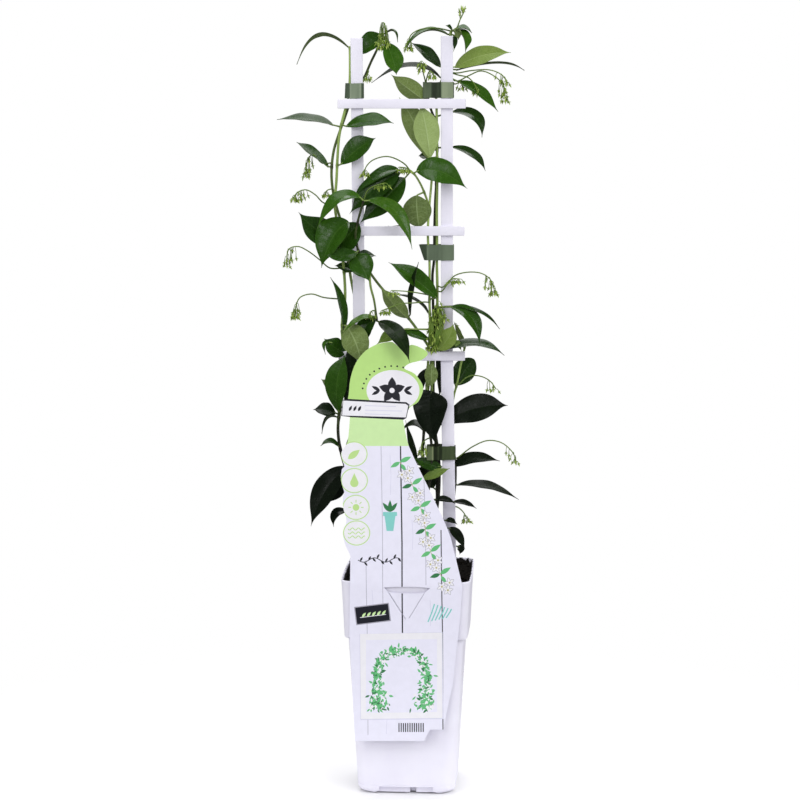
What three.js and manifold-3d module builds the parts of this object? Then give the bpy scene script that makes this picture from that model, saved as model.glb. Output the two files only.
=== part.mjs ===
// A star jasmine in its square pot, trained up a ladder trellis. Millimetres, +Z up, the ladder in the XZ plane.
// The pot stands on Z = 0, and the origin is on that surface under the middle of the whole plant.

import * as THREE from 'three';
import { mergeVertices } from 'three/addons/utils/BufferGeometryUtils.js';
import Module from 'manifold-3d';

const wasm = await Module();
wasm.setup();

// The pot
const POT_AXIS_X = 9;
const POT_TURN = THREE.MathUtils.degToRad(-3.5);
const POT_HEIGHT = 220;
const RIM_HALF = 64.1;
const COLLAR_FOOT_HALF = 61.1;
const COLLAR_FOOT_HEIGHT = 162;
const WALL_TOP_HALF = 57.4;
const BASE_HALF = 48.6;
const BASE_EASE = 2;
const WALL = 1.9;
const FLOOR_UNDERSIDE = 8;
const FLOOR = 2.2;
const RIM_CORNER = 16;
const BASE_CORNER = 13;
const FACE_DOME = 0.9;
const SKIRT_SETBACK = 4.2;
const SKIRT_FOOT = 1.6;
const FOOT_CUT_HALF = 31;
const FOOT_THICK = 5;
const NOTCH_HALF = 3;
const DRAIN_RADIUS = 4.5;
const DRAIN_SPREAD = 27;

// The soil
const SOIL_GAP = 0.4;
const SOIL_TOP = 212;
const SOIL_LUMPS = 2.4;
const SOIL_CELLS = 7;

// The ladder: two stakes with three rungs pegged on their fronts
const STAKE_WIDTH = 11.8;
const STAKE_LOWER_WIDTH = 12.5;
const STAKE_THICK = 4;
const STAKE_FOOT = 112;
const STAKE_JOINT = 431.5;
const LOWER_LEAN = 0.0175;
const LEFT_STAKE = { name: 'stake_left', topX: -42.65, top: 750, lean: 0.0067 };
const RIGHT_STAKE = { name: 'stake_right', topX: 45.97, top: 752, lean: 0.0028 };
const RUNG_LENGTH = 126;
const RUNG_HIGH = 9.3;
const RUNG_THICK = 3;
const RUNG_GAP = 0.3;
const PEG_RADIUS = 1.9;
const PEG_CLEARANCE = 0.3;

// The tape ties
const TAPE_THICK = 0.7;

// The label card
const CARD_THICK = 0.8;
const CARD_GAP = 0.35;
const CARD_LEAN = THREE.MathUtils.degToRad(7);
const CARD_HINGE = 216.7;
const HANGER_HEIGHT = POT_HEIGHT + CARD_GAP;

// Blades and stems
const BLADE_THICK = 0.8;
const PETIOLE_WIDE = 1.8;
const PETIOLE_THICK = 1.5;
const STEM_SIDES = 5;
const STALK_SIDES = 3;
const STALK_RADIUS = 0.6;

// The elevation sheet. Places on the plant are read off a full-size front elevation, 800 mm square, with x from
// its left edge and y down from its top edge, as an eye in front of it sees them; depth is true, +Y away.
const SHEET_MIDDLE = 400;
const SHEET_MIDDLE_HEIGHT = 392;
const EYE_DISTANCE = 2400;
const EYE_PITCH = THREE.MathUtils.degToRad(7.5);
const EYE_BACK = EYE_DISTANCE * Math.cos(EYE_PITCH);
const EYE_RISE = EYE_DISTANCE * Math.sin(EYE_PITCH);

function place([x, y, depth]) {
  const across = x - SHEET_MIDDLE;
  const up = SHEET_MIDDLE - y;
  const reach = (EYE_BACK + depth) / (EYE_BACK + up * Math.sin(EYE_PITCH));
  const height = SHEET_MIDDLE_HEIGHT + EYE_RISE + reach * (up * Math.cos(EYE_PITCH) - EYE_RISE);
  return new THREE.Vector3(across * reach, depth, height);
}

// Joining and cutting
function solidOf(geometry) {
  const bare = geometry.clone();
  bare.deleteAttribute('normal');
  bare.deleteAttribute('uv');
  const merged = mergeVertices(bare, 1e-4);
  return new wasm.Manifold(new wasm.Mesh({
    numProp: 3,
    vertProperties: new Float32Array(merged.attributes.position.array),
    triVerts: new Uint32Array(merged.index.array),
  }));
}

function geometryOf(solid) {
  const mesh = solid.getMesh();
  const geometry = new THREE.BufferGeometry();
  geometry.setAttribute('position', new THREE.BufferAttribute(new Float32Array(mesh.vertProperties), 3));
  geometry.setIndex(new THREE.BufferAttribute(new Uint32Array(mesh.triVerts), 1));
  geometry.computeVertexNormals();
  return geometry;
}

function joined(geometries) {
  return geometries.map(solidOf).reduce((whole, piece) => whole.add(piece));
}

function largestBody(solid) {
  const bodies = solid.decompose();
  return bodies.reduce((best, body) => (body.volume() > best.volume() ? body : best));
}

function boxAt(width, deep, high, x, y, z) {
  return new THREE.BoxGeometry(width, deep, high).translate(x, y, z);
}

// A closed skin over a row of rings that all have the same number of points
function loft(rings) {
  const count = rings[0].length;
  const points = rings.flat();
  const faces = [];
  for (let row = 0; row + 1 < rings.length; row += 1) {
    for (let k = 0; k < count; k += 1) {
      const next = (k + 1) % count;
      const a = row * count + k;
      const b = row * count + next;
      const c = (row + 1) * count + next;
      const d = (row + 1) * count + k;
      faces.push(a, b, c, a, c, d);
    }
  }
  const last = (rings.length - 1) * count;
  for (let k = 1; k + 1 < count; k += 1) {
    faces.push(0, k + 1, k);
    faces.push(last, last + k, last + k + 1);
  }
  const geometry = new THREE.BufferGeometry();
  geometry.setAttribute('position', new THREE.Float32BufferAttribute(points.flatMap((p) => [p.x, p.y, p.z]), 3));
  geometry.setIndex(faces);
  return geometry;
}

// The pot's plan: a square with round corners and slightly domed sides
const CORNER_STEPS = 3;

function squareRing(half, corner, height) {
  const ring = [];
  for (let side = 0; side < 4; side += 1) {
    const turn = side * Math.PI / 2;
    for (let step = 0; step <= CORNER_STEPS; step += 1) {
      const angle = -Math.PI / 4 - Math.PI / 4 + (Math.PI / 2) * (step / CORNER_STEPS);
      const x = half - corner + corner * Math.cos(angle);
      const y = -half + corner + corner * Math.sin(angle);
      ring.push(new THREE.Vector3(x, y, height).applyAxisAngle(new THREE.Vector3(0, 0, 1), turn));
    }
    const middle = new THREE.Vector3(half + FACE_DOME * (half / RIM_HALF), 0, height);
    ring.push(middle.applyAxisAngle(new THREE.Vector3(0, 0, 1), turn));
  }
  return ring;
}

function cornerAt(height) {
  return BASE_CORNER + (RIM_CORNER - BASE_CORNER) * (height / POT_HEIGHT);
}

// Half the pot's width outside, below and above the collar's ledge
function wallHalf(height) {
  return BASE_HALF + (WALL_TOP_HALF - BASE_HALF) * (height / COLLAR_FOOT_HEIGHT);
}

function collarHalf(height) {
  const share = (height - COLLAR_FOOT_HEIGHT) / (POT_HEIGHT - COLLAR_FOOT_HEIGHT);
  return COLLAR_FOOT_HALF + (RIM_HALF - COLLAR_FOOT_HALF) * share;
}

function innerHalf(height) {
  return (height > COLLAR_FOOT_HEIGHT ? collarHalf(height) : wallHalf(height)) - WALL;
}

const LEDGE_FROM = 1.2;
const LEDGE_TO = 3;
const FLOOR_TOP = FLOOR_UNDERSIDE + FLOOR;

function potGeometry() {
  const outside = [
    squareRing(BASE_HALF - BASE_EASE, BASE_CORNER - BASE_EASE, 0),
    squareRing(wallHalf(BASE_EASE), BASE_CORNER, BASE_EASE),
    squareRing(WALL_TOP_HALF, cornerAt(COLLAR_FOOT_HEIGHT), COLLAR_FOOT_HEIGHT),
    squareRing(COLLAR_FOOT_HALF, cornerAt(COLLAR_FOOT_HEIGHT) + 2, COLLAR_FOOT_HEIGHT + 1),
    squareRing(collarHalf(POT_HEIGHT), RIM_CORNER, POT_HEIGHT),
  ];
  const inside = [
    squareRing(innerHalf(FLOOR_TOP), BASE_CORNER - WALL, FLOOR_TOP),
    squareRing(WALL_TOP_HALF - WALL, cornerAt(COLLAR_FOOT_HEIGHT) - WALL, COLLAR_FOOT_HEIGHT + LEDGE_FROM),
    squareRing(innerHalf(COLLAR_FOOT_HEIGHT + LEDGE_TO), cornerAt(COLLAR_FOOT_HEIGHT), COLLAR_FOOT_HEIGHT + LEDGE_TO),
    squareRing(innerHalf(POT_HEIGHT + 1), RIM_CORNER - WALL, POT_HEIGHT + 1),
  ];
  const skirtHalf = wallHalf(0) - SKIRT_SETBACK;
  const underSkirt = [
    squareRing(wallHalf(0) - FOOT_THICK, BASE_CORNER - FOOT_THICK, -1),
    squareRing(wallHalf(0) - FOOT_THICK, BASE_CORNER - FOOT_THICK, FLOOR_UNDERSIDE),
  ];
  const skirt = [
    squareRing(skirtHalf, BASE_CORNER - SKIRT_SETBACK + 1, SKIRT_FOOT),
    squareRing(skirtHalf, BASE_CORNER - SKIRT_SETBACK + 1, FLOOR_UNDERSIDE + 1),
  ];
  const skirtHollow = [
    squareRing(skirtHalf - WALL, BASE_CORNER - SKIRT_SETBACK - 1, SKIRT_FOOT - 1),
    squareRing(skirtHalf - WALL, BASE_CORNER - SKIRT_SETBACK - 1, FLOOR_UNDERSIDE),
  ];
  let pot = solidOf(loft(outside)).subtract(solidOf(loft(inside))).subtract(solidOf(loft(underSkirt)));
  const cutHigh = FLOOR_UNDERSIDE + 1;
  const cuts = [
    boxAt(2 * FOOT_CUT_HALF, 3 * BASE_HALF, cutHigh, 0, 0, cutHigh / 2 - 1),
    boxAt(3 * BASE_HALF, 2 * FOOT_CUT_HALF, cutHigh, 0, 0, cutHigh / 2 - 1),
  ];
  pot = cuts.reduce((whole, cut) => whole.subtract(solidOf(cut)), pot);
  const notches = [
    boxAt(2 * NOTCH_HALF, 3 * BASE_HALF, cutHigh, 0, 0, cutHigh / 2 - 1),
    boxAt(3 * BASE_HALF, 2 * NOTCH_HALF, cutHigh, 0, 0, cutHigh / 2 - 1),
  ];
  let ring = solidOf(loft(skirt)).subtract(solidOf(loft(skirtHollow)));
  ring = notches.reduce((whole, cut) => whole.subtract(solidOf(cut)), ring);
  pot = pot.add(ring);
  for (const [x, y] of [[0, 0], [1, 1], [1, -1], [-1, 1], [-1, -1]]) {
    const drain = new THREE.CylinderGeometry(DRAIN_RADIUS, DRAIN_RADIUS, 4 * FLOOR, 10).rotateX(Math.PI / 2);
    drain.translate(x * DRAIN_SPREAD, y * DRAIN_SPREAD, FLOOR_UNDERSIDE);
    pot = pot.subtract(solidOf(drain));
  }
  return geometryOf(largestBody(pot));
}

// The soil: a plug that fills the pot, with a lumpy top
function soilLump(i, j) {
  const wave = Math.sin(i * 2.3 + 0.7 * j) + Math.sin(j * 1.9 - 1.1 * i) + Math.sin((i + 2 * j) * 3.1);
  return SOIL_LUMPS * wave / 3;
}

function soilTopGeometry() {
  const reach = 2 * (innerHalf(POT_HEIGHT) + FACE_DOME + SOIL_GAP);
  const top = new THREE.BoxGeometry(reach, reach, 60, SOIL_CELLS, SOIL_CELLS, 1).translate(0, 0, SOIL_TOP + 30);
  const points = top.attributes.position;
  for (let k = 0; k < points.count; k += 1) {
    if (points.getZ(k) < SOIL_TOP + 1) {
      const i = Math.round(points.getX(k) / reach * SOIL_CELLS);
      const j = Math.round(points.getY(k) / reach * SOIL_CELLS);
      points.setZ(k, SOIL_TOP + soilLump(i, j));
    }
  }
  return top;
}

function soilSolid() {
  const shrink = (height, corner) => squareRing(innerHalf(height) - SOIL_GAP, corner - WALL - SOIL_GAP, height);
  const floor = FLOOR_TOP + SOIL_GAP;
  const narrow = WALL_TOP_HALF - WALL - SOIL_GAP;
  const plug = loft([
    squareRing(innerHalf(floor) - SOIL_GAP, BASE_CORNER - WALL - SOIL_GAP, floor),
    squareRing(narrow, cornerAt(COLLAR_FOOT_HEIGHT) - WALL - SOIL_GAP, COLLAR_FOOT_HEIGHT + LEDGE_FROM + SOIL_GAP),
    shrink(COLLAR_FOOT_HEIGHT + LEDGE_TO + SOIL_GAP, cornerAt(COLLAR_FOOT_HEIGHT) + WALL),
    shrink(POT_HEIGHT - 1, RIM_CORNER),
  ]);
  return solidOf(plug).subtract(solidOf(soilTopGeometry()));
}

// The ladder. A stake leans a little, and more below the joint behind the lowest rung.
function stakeAxisX(stake, height) {
  const upper = stake.top - Math.max(height, STAKE_JOINT);
  const lower = Math.max(0, STAKE_JOINT - height);
  return stake.topX + stake.lean * upper + LOWER_LEAN * lower;
}

function stakeOutline(stake, width, thick, height) {
  const x = stakeAxisX(stake, height);
  return [
    new THREE.Vector3(x - width / 2, -thick / 2, height),
    new THREE.Vector3(x + width / 2, -thick / 2, height),
    new THREE.Vector3(x + width / 2, thick / 2, height),
    new THREE.Vector3(x - width / 2, thick / 2, height),
  ];
}

const RUNGS = [
  { name: 'rung_top', height: 686.1, middle: 1.6 },
  { name: 'rung_middle', height: 561.2, middle: 0.8 },
  { name: 'rung_bottom', height: 436.7, middle: 1.7 },
];

function pegGeometry(radius, x, height, fromY, toY) {
  const peg = new THREE.CylinderGeometry(radius, radius, toY - fromY, 8);
  return peg.translate(x, (fromY + toY) / 2, height);
}

function stakeSolid(stake) {
  let solid = solidOf(loft([
    stakeOutline(stake, 2, STAKE_THICK, STAKE_FOOT),
    stakeOutline(stake, STAKE_LOWER_WIDTH, STAKE_THICK, STAKE_FOOT + 22),
    stakeOutline(stake, STAKE_LOWER_WIDTH, STAKE_THICK, STAKE_JOINT),
    stakeOutline(stake, STAKE_WIDTH, STAKE_THICK, STAKE_JOINT + 0.5),
    stakeOutline(stake, STAKE_WIDTH, STAKE_THICK, stake.top),
  ]));
  for (const rung of RUNGS) {
    const hole = pegGeometry(PEG_RADIUS + PEG_CLEARANCE, stakeAxisX(stake, rung.height), rung.height, -9, 9);
    solid = solid.subtract(solidOf(hole));
  }
  return solid;
}

function rungSolid(rung) {
  const front = -STAKE_THICK / 2 - RUNG_GAP - RUNG_THICK;
  const bar = boxAt(RUNG_LENGTH, RUNG_THICK, RUNG_HIGH, rung.middle, front + RUNG_THICK / 2, rung.height);
  const pegs = [LEFT_STAKE, RIGHT_STAKE].map((stake) => (
    pegGeometry(PEG_RADIUS, stakeAxisX(stake, rung.height), rung.height, front + 1, STAKE_THICK / 2 + 0.8)
  ));
  return joined([bar, ...pegs]);
}

// The tape ties: a closed band round a stake and the stems beside it, drawn in plan. Its top is moved to the
// left by the flare, at its left end.
const FLARE_REACH = 16;

function tieGeometry({ height, high, plan, flare }) {
  const outer = new THREE.Shape(plan.map(([x, y]) => new THREE.Vector2(x, y)));
  const middle = plan.reduce((sum, [x, y]) => [sum[0] + x / plan.length, sum[1] + y / plan.length], [0, 0]);
  const inner = plan.map(([x, y], k) => {
    const before = new THREE.Vector2(...plan[(k + plan.length - 1) % plan.length]);
    const after = new THREE.Vector2(...plan[(k + 1) % plan.length]);
    const here = new THREE.Vector2(x, y);
    const inward = (from, to) => {
      const along = to.clone().sub(from).normalize();
      const across = new THREE.Vector2(-along.y, along.x);
      const side = Math.sign(across.dot(new THREE.Vector2(...middle).sub(from)));
      return across.multiplyScalar(side);
    };
    const first = inward(before, here);
    const second = inward(here, after);
    const bisector = first.clone().add(second).normalize();
    const stretch = TAPE_THICK / Math.max(0.5, bisector.dot(first));
    return here.add(bisector.multiplyScalar(stretch));
  });
  outer.holes.push(new THREE.Path(inner));
  const band = new THREE.ExtrudeGeometry(outer, { depth: high, bevelEnabled: false });
  const points = band.attributes.position;
  for (let k = 0; k < points.count; k += 1) {
    const rise = points.getZ(k) / high;
    const far = Math.max(0, middle[0] - points.getX(k)) / FLARE_REACH;
    points.setX(k, points.getX(k) - flare * rise * far);
  }
  return band.translate(0, 0, height - high / 2);
}

const TIES = [
  { name: 'tie_left_top', height: 698.6, high: 14.7, flare: -1.2,
    plan: [[-50, -3.2], [-35.3, -3.2], [-35.3, 3.4], [-36.5, 10.4], [-41, 11.8], [-51, 11.4], [-54.6, 3.5], [-54.6, -1.8]] },
  { name: 'tie_right_top', height: 699.4, high: 15.5, flare: 0,
    plan: [[22.2, -0.5], [29, -3], [39.6, -3.4], [53.2, -3.2], [53.2, 3.2], [45.5, 9.6], [36, 11], [23, 9.5]] },
  { name: 'tie_right_middle', height: 539.6, high: 15.4, flare: 7,
    plan: [[23.8, -0.5], [28, -3.2], [53.7, -3.2], [53.7, 3.2], [39, 10.8], [28, 9.8], [24, 5]] },
  { name: 'tie_right_low', height: 338.9, high: 14, flare: 0,
    plan: [[26.2, -6.4], [33, -7.2], [55.9, -3.3], [55.9, 3.3], [46, 12.9], [34, 14.2], [27, 8]] },
];

// The label: a card cut to a head, a banner and a body, bent back above the rim it hangs on
const CARD_HEAD = [
  [350, 586], [350.4, 557], [345.3, 545], [343, 532], [346.5, 521], [343.2, 507.5], [343, 496], [344.5, 493],
  [341, 480.5], [342, 469], [344.5, 466.5], [341, 453.7], [347.5, 442], [350, 417], [341.2, 416], [342.9, 399.5],
  [347.9, 398.7], [350.4, 378.8], [355.8, 363], [364.9, 351.4], [375.7, 344.8], [386.4, 342.3], [393, 342.3],
  [403, 349.8], [411.3, 344.8], [423, 348.9], [427.9, 353.9], [421.3, 360.1], [409.7, 363.4], [404.3, 368.4],
  [414.6, 373.8], [422, 383.7], [422.9, 391.2], [418, 402], [409.2, 408], [406.3, 418.2], [403, 420],
  [408.8, 446], [433.7, 499], [450.9, 538], [462.4, 586],
];
const CARD_BODY = [
  [350, 586], [462.4, 586], [460, 618.6], [452.8, 683.7], [443.2, 729.6], [430, 729.6], [424, 741], [355, 741],
  [349.5, 637.7],
];
// The rim shows through a narrow lens, and two slits run down from it to either side of a tongue
const RIM_LENS = [
  [384, 587.5], [395, 586.9], [407, 586.8], [419, 587], [430, 588.2], [425, 592.6], [409.6, 618.4], [408.8, 617.9],
  [423.3, 593.2], [415, 593.6], [405, 593.5], [396, 593], [389.6, 592.2], [406, 619.2], [405.2, 619.7], [387.8, 591.8],
];
const HOOK_SPAN = [389, 425];
const HOOK_REACH = 16;

// A card outline point on the sheet, as a place across and up the card from its hinge line, the pot turned square.
const CARD_DEPTH = -RIM_HALF - FACE_DOME - CARD_GAP - CARD_THICK - 0.6;
const UPRIGHT = new THREE.Vector3(0, 0, 1);

function onCard([x, y], lean) {
  let depth = CARD_DEPTH;
  let point = null;
  for (let round = 0; round < 5; round += 1) {
    point = place([x, y, depth]);
    point.x -= POT_AXIS_X;
    point.applyAxisAngle(UPRIGHT, -POT_TURN);
    depth += CARD_DEPTH + Math.tan(lean) * Math.max(0, point.z - CARD_HINGE) - point.y;
  }
  return new THREE.Vector2(point.x, (point.z - CARD_HINGE) / Math.cos(lean));
}

function cardPlate(outline, holes = []) {
  const shape = new THREE.Shape(outline);
  for (const hole of holes) {
    shape.holes.push(new THREE.Path(hole.slice().reverse()));
  }
  return new THREE.ExtrudeGeometry(shape, { depth: CARD_THICK, bevelEnabled: false }).rotateX(Math.PI / 2);
}

// A hook on the back of the card goes over the rim and down inside the pot
const HOOK_BACK = -innerHalf(POT_HEIGHT) + CARD_GAP + FACE_DOME + CARD_THICK;

function hookSpan() {
  const [left, right] = HOOK_SPAN.map((x) => onCard([x, 580], CARD_LEAN).x);
  return { width: right - left, across: (left + right) / 2 };
}

function labelSolid() {
  const backFace = CARD_DEPTH + CARD_THICK;
  const headOutline = CARD_HEAD.map((point) => onCard(point, CARD_LEAN));
  const bottom = headOutline.filter((point) => point.y < 1);
  for (const point of bottom) {
    point.y = -0.4;
  }
  const head = cardPlate(headOutline).rotateX(-CARD_LEAN).translate(0, backFace, CARD_HINGE);
  const bodyOutline = CARD_BODY.map((point) => onCard(point, 0));
  bodyOutline[0].y = 0;
  bodyOutline[1].y = 0;
  const lens = RIM_LENS.map((point) => onCard(point, 0));
  const body = cardPlate(bodyOutline, [lens]).translate(0, backFace, CARD_HINGE);
  const { width, across } = hookSpan();
  const overFrom = CARD_DEPTH + Math.tan(CARD_LEAN) * (HANGER_HEIGHT - CARD_HINGE) + 0.3;
  const overDeep = HOOK_BACK - overFrom;
  const over = boxAt(width, overDeep, CARD_THICK, across, overFrom + overDeep / 2, HANGER_HEIGHT + CARD_THICK / 2);
  const tab = [new THREE.Vector2(-width / 2, 0.4), new THREE.Vector2(0, -HOOK_REACH), new THREE.Vector2(width / 2, 0.4)];
  const down = cardPlate(tab).translate(across, HOOK_BACK, HANGER_HEIGHT);
  return joined([head, body, over, down]);
}

function hookSlot() {
  const { width, across } = hookSpan();
  const deep = CARD_THICK + 4 * CARD_GAP;
  return boxAt(width + 1, deep, 2 * HOOK_REACH + 2, across, HOOK_BACK - CARD_THICK / 2, HANGER_HEIGHT);
}

// Leaves: a thin arched blade on a short petiole, folded along its midrib
const LONG_LEAF = 40;
const LONG_LEAF_ROWS = [0, 0.18, 0.45, 0.76, 1];
const SHORT_LEAF_ROWS = [0, 0.25, 0.6, 1];
const TOWARD_EYE = new THREE.Vector3(0, -1, 0.16).normalize();

function bladeShare(along) {
  const full = Math.sin(Math.PI * Math.pow(along, 0.88));
  return Math.pow(Math.max(0, full), 0.8);
}

function leafGeometry(stem, row) {
  const [fromX, fromY, overX, overY, tipX, tipY, wide, face, depths, foldAngle = 16] = row;
  const from = place([fromX, fromY, depths[0]]);
  const over = place([overX, overY, depths[1]]);
  const tip = place([tipX, tipY, depths[2]]);
  const control = over.clone().multiplyScalar(2).addScaledVector(from, -0.5).addScaledVector(tip, -0.5);
  const rib = new THREE.QuadraticBezierCurve3(from, control, tip);
  const root = nearestOn(stem, from);
  const turn = THREE.MathUtils.degToRad(face);
  const fold = THREE.MathUtils.degToRad(foldAngle);
  const chord = tip.clone().sub(from);
  const rings = [];
  const ringAt = (center, tangent, half, thick) => {
    const toward = TOWARD_EYE.clone().addScaledVector(tangent, -TOWARD_EYE.dot(tangent)).normalize();
    const skyward = new THREE.Vector3().crossVectors(tangent, toward).multiplyScalar(chord.x > 0 ? -1 : 1);
    const up = toward.multiplyScalar(Math.cos(turn)).addScaledVector(skyward, Math.sin(turn)).normalize();
    const side = new THREE.Vector3().crossVectors(tangent, up).normalize();
    const lift = half > PETIOLE_WIDE ? half * Math.sin(fold) : 0;
    const spread = half > PETIOLE_WIDE ? half * Math.cos(fold) : half;
    const at = (across, rise) => center.clone().addScaledVector(side, across).addScaledVector(up, rise);
    rings.push([
      at(-spread, lift + thick / 2), at(0, thick / 2), at(spread, lift + thick / 2),
      at(spread, lift - thick / 2), at(0, -thick / 2), at(-spread, lift - thick / 2),
    ]);
  };
  const petioleWay = from.clone().sub(root);
  if (petioleWay.length() > 1.5) {
    ringAt(root, petioleWay.clone().normalize(), PETIOLE_WIDE / 2, PETIOLE_THICK);
  }
  for (const along of chord.length() > LONG_LEAF ? LONG_LEAF_ROWS : SHORT_LEAF_ROWS) {
    const half = Math.max(along < 0.5 ? PETIOLE_WIDE / 2 : 0.5, bladeShare(along) * wide / 2);
    const thick = along === 0 ? PETIOLE_THICK : BLADE_THICK;
    ringAt(rib.getPoint(along), rib.getTangent(along), half, thick);
  }
  return bladeSkin(rings);
}

// The skin of a blade: rings of six points, split into triangles alike on the upper and lower faces
function bladeSkin(rings) {
  const points = rings.flat();
  const faces = [];
  const quad = (a, b, c, d, flip) => {
    if (flip) {
      faces.push(a, b, d, b, c, d);
    } else {
      faces.push(a, b, c, a, c, d);
    }
  };
  for (let row = 0; row + 1 < rings.length; row += 1) {
    const a = row * 6;
    const b = a + 6;
    quad(a, b, b + 1, a + 1, false);
    quad(a + 1, b + 1, b + 2, a + 2, true);
    quad(a + 2, b + 2, b + 3, a + 3, false);
    quad(a + 3, b + 3, b + 4, a + 4, false);
    quad(a + 4, b + 4, b + 5, a + 5, true);
    quad(a + 5, b + 5, b, a, false);
  }
  const end = (rings.length - 1) * 6;
  faces.push(0, 1, 5, 1, 4, 5, 1, 2, 4, 2, 3, 4);
  faces.push(end, end + 5, end + 1, end + 1, end + 5, end + 4, end + 1, end + 4, end + 2, end + 2, end + 4, end + 3);
  const geometry = new THREE.BufferGeometry();
  geometry.setAttribute('position', new THREE.Float32BufferAttribute(points.flatMap((p) => [p.x, p.y, p.z]), 3));
  geometry.setIndex(faces.reverse());
  return geometry;
}

// Stems and flower stalks: tubes along smooth curves
function curveThrough(points) {
  return new THREE.CatmullRomCurve3(points.map(place), false, 'centripetal');
}

function tube(curve, radius, sides, steps) {
  const section = new THREE.Shape();
  for (let k = 0; k < sides; k += 1) {
    const angle = 2 * Math.PI * k / sides;
    const x = radius * Math.cos(angle);
    const y = radius * Math.sin(angle);
    if (k === 0) {
      section.moveTo(x, y);
    } else {
      section.lineTo(x, y);
    }
  }
  return new THREE.ExtrudeGeometry(section, { steps, extrudePath: curve, bevelEnabled: false });
}

function nearestOn(curves, point) {
  let best = null;
  let shortest = Infinity;
  for (const curve of curves) {
    for (let k = 0; k <= 160; k += 1) {
      const candidate = curve.getPoint(k / 160);
      const distance = candidate.distanceTo(point);
      if (distance < shortest) {
        shortest = distance;
        best = candidate;
      }
    }
  }
  return best;
}

// A spray: a thin stalk from the stem with pointed buds at its end
const BUD_ROUND = 0.95;
const BUD_LONG = 3.6;
const GOLDEN_TURN = 2.4;
const MOST_BUDS = 3;

function sprayGeometries(stem, spray) {
  const points = spray.way.map(place);
  const root = nearestOn(stem, points[0]);
  const curve = new THREE.CatmullRomCurve3([root, ...points], false, 'centripetal');
  const pieces = [tube(curve, STALK_RADIUS, STALK_SIDES, 2 * points.length)];
  const buds = Math.min(MOST_BUDS, spray.buds);
  const share = spray.share ?? 0.3;
  for (let k = 0; k < buds; k += 1) {
    const along = 1 - share * (k / buds);
    const at = curve.getPoint(along);
    const turn = k * GOLDEN_TURN;
    const way = new THREE.Vector3(Math.cos(turn), 0.8 * Math.sin(turn), -0.35).normalize();
    if (k === 0) {
      way.copy(curve.getTangent(1));
    }
    const bud = new THREE.OctahedronGeometry(1, 0).scale(BUD_ROUND, BUD_ROUND, BUD_LONG);
    bud.translate(0, 0, BUD_LONG - 0.5);
    bud.applyQuaternion(new THREE.Quaternion().setFromUnitVectors(new THREE.Vector3(0, 0, 1), way));
    bud.translate(at.x, at.y, at.z);
    pieces.push(bud);
  }
  return pieces;
}

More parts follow.
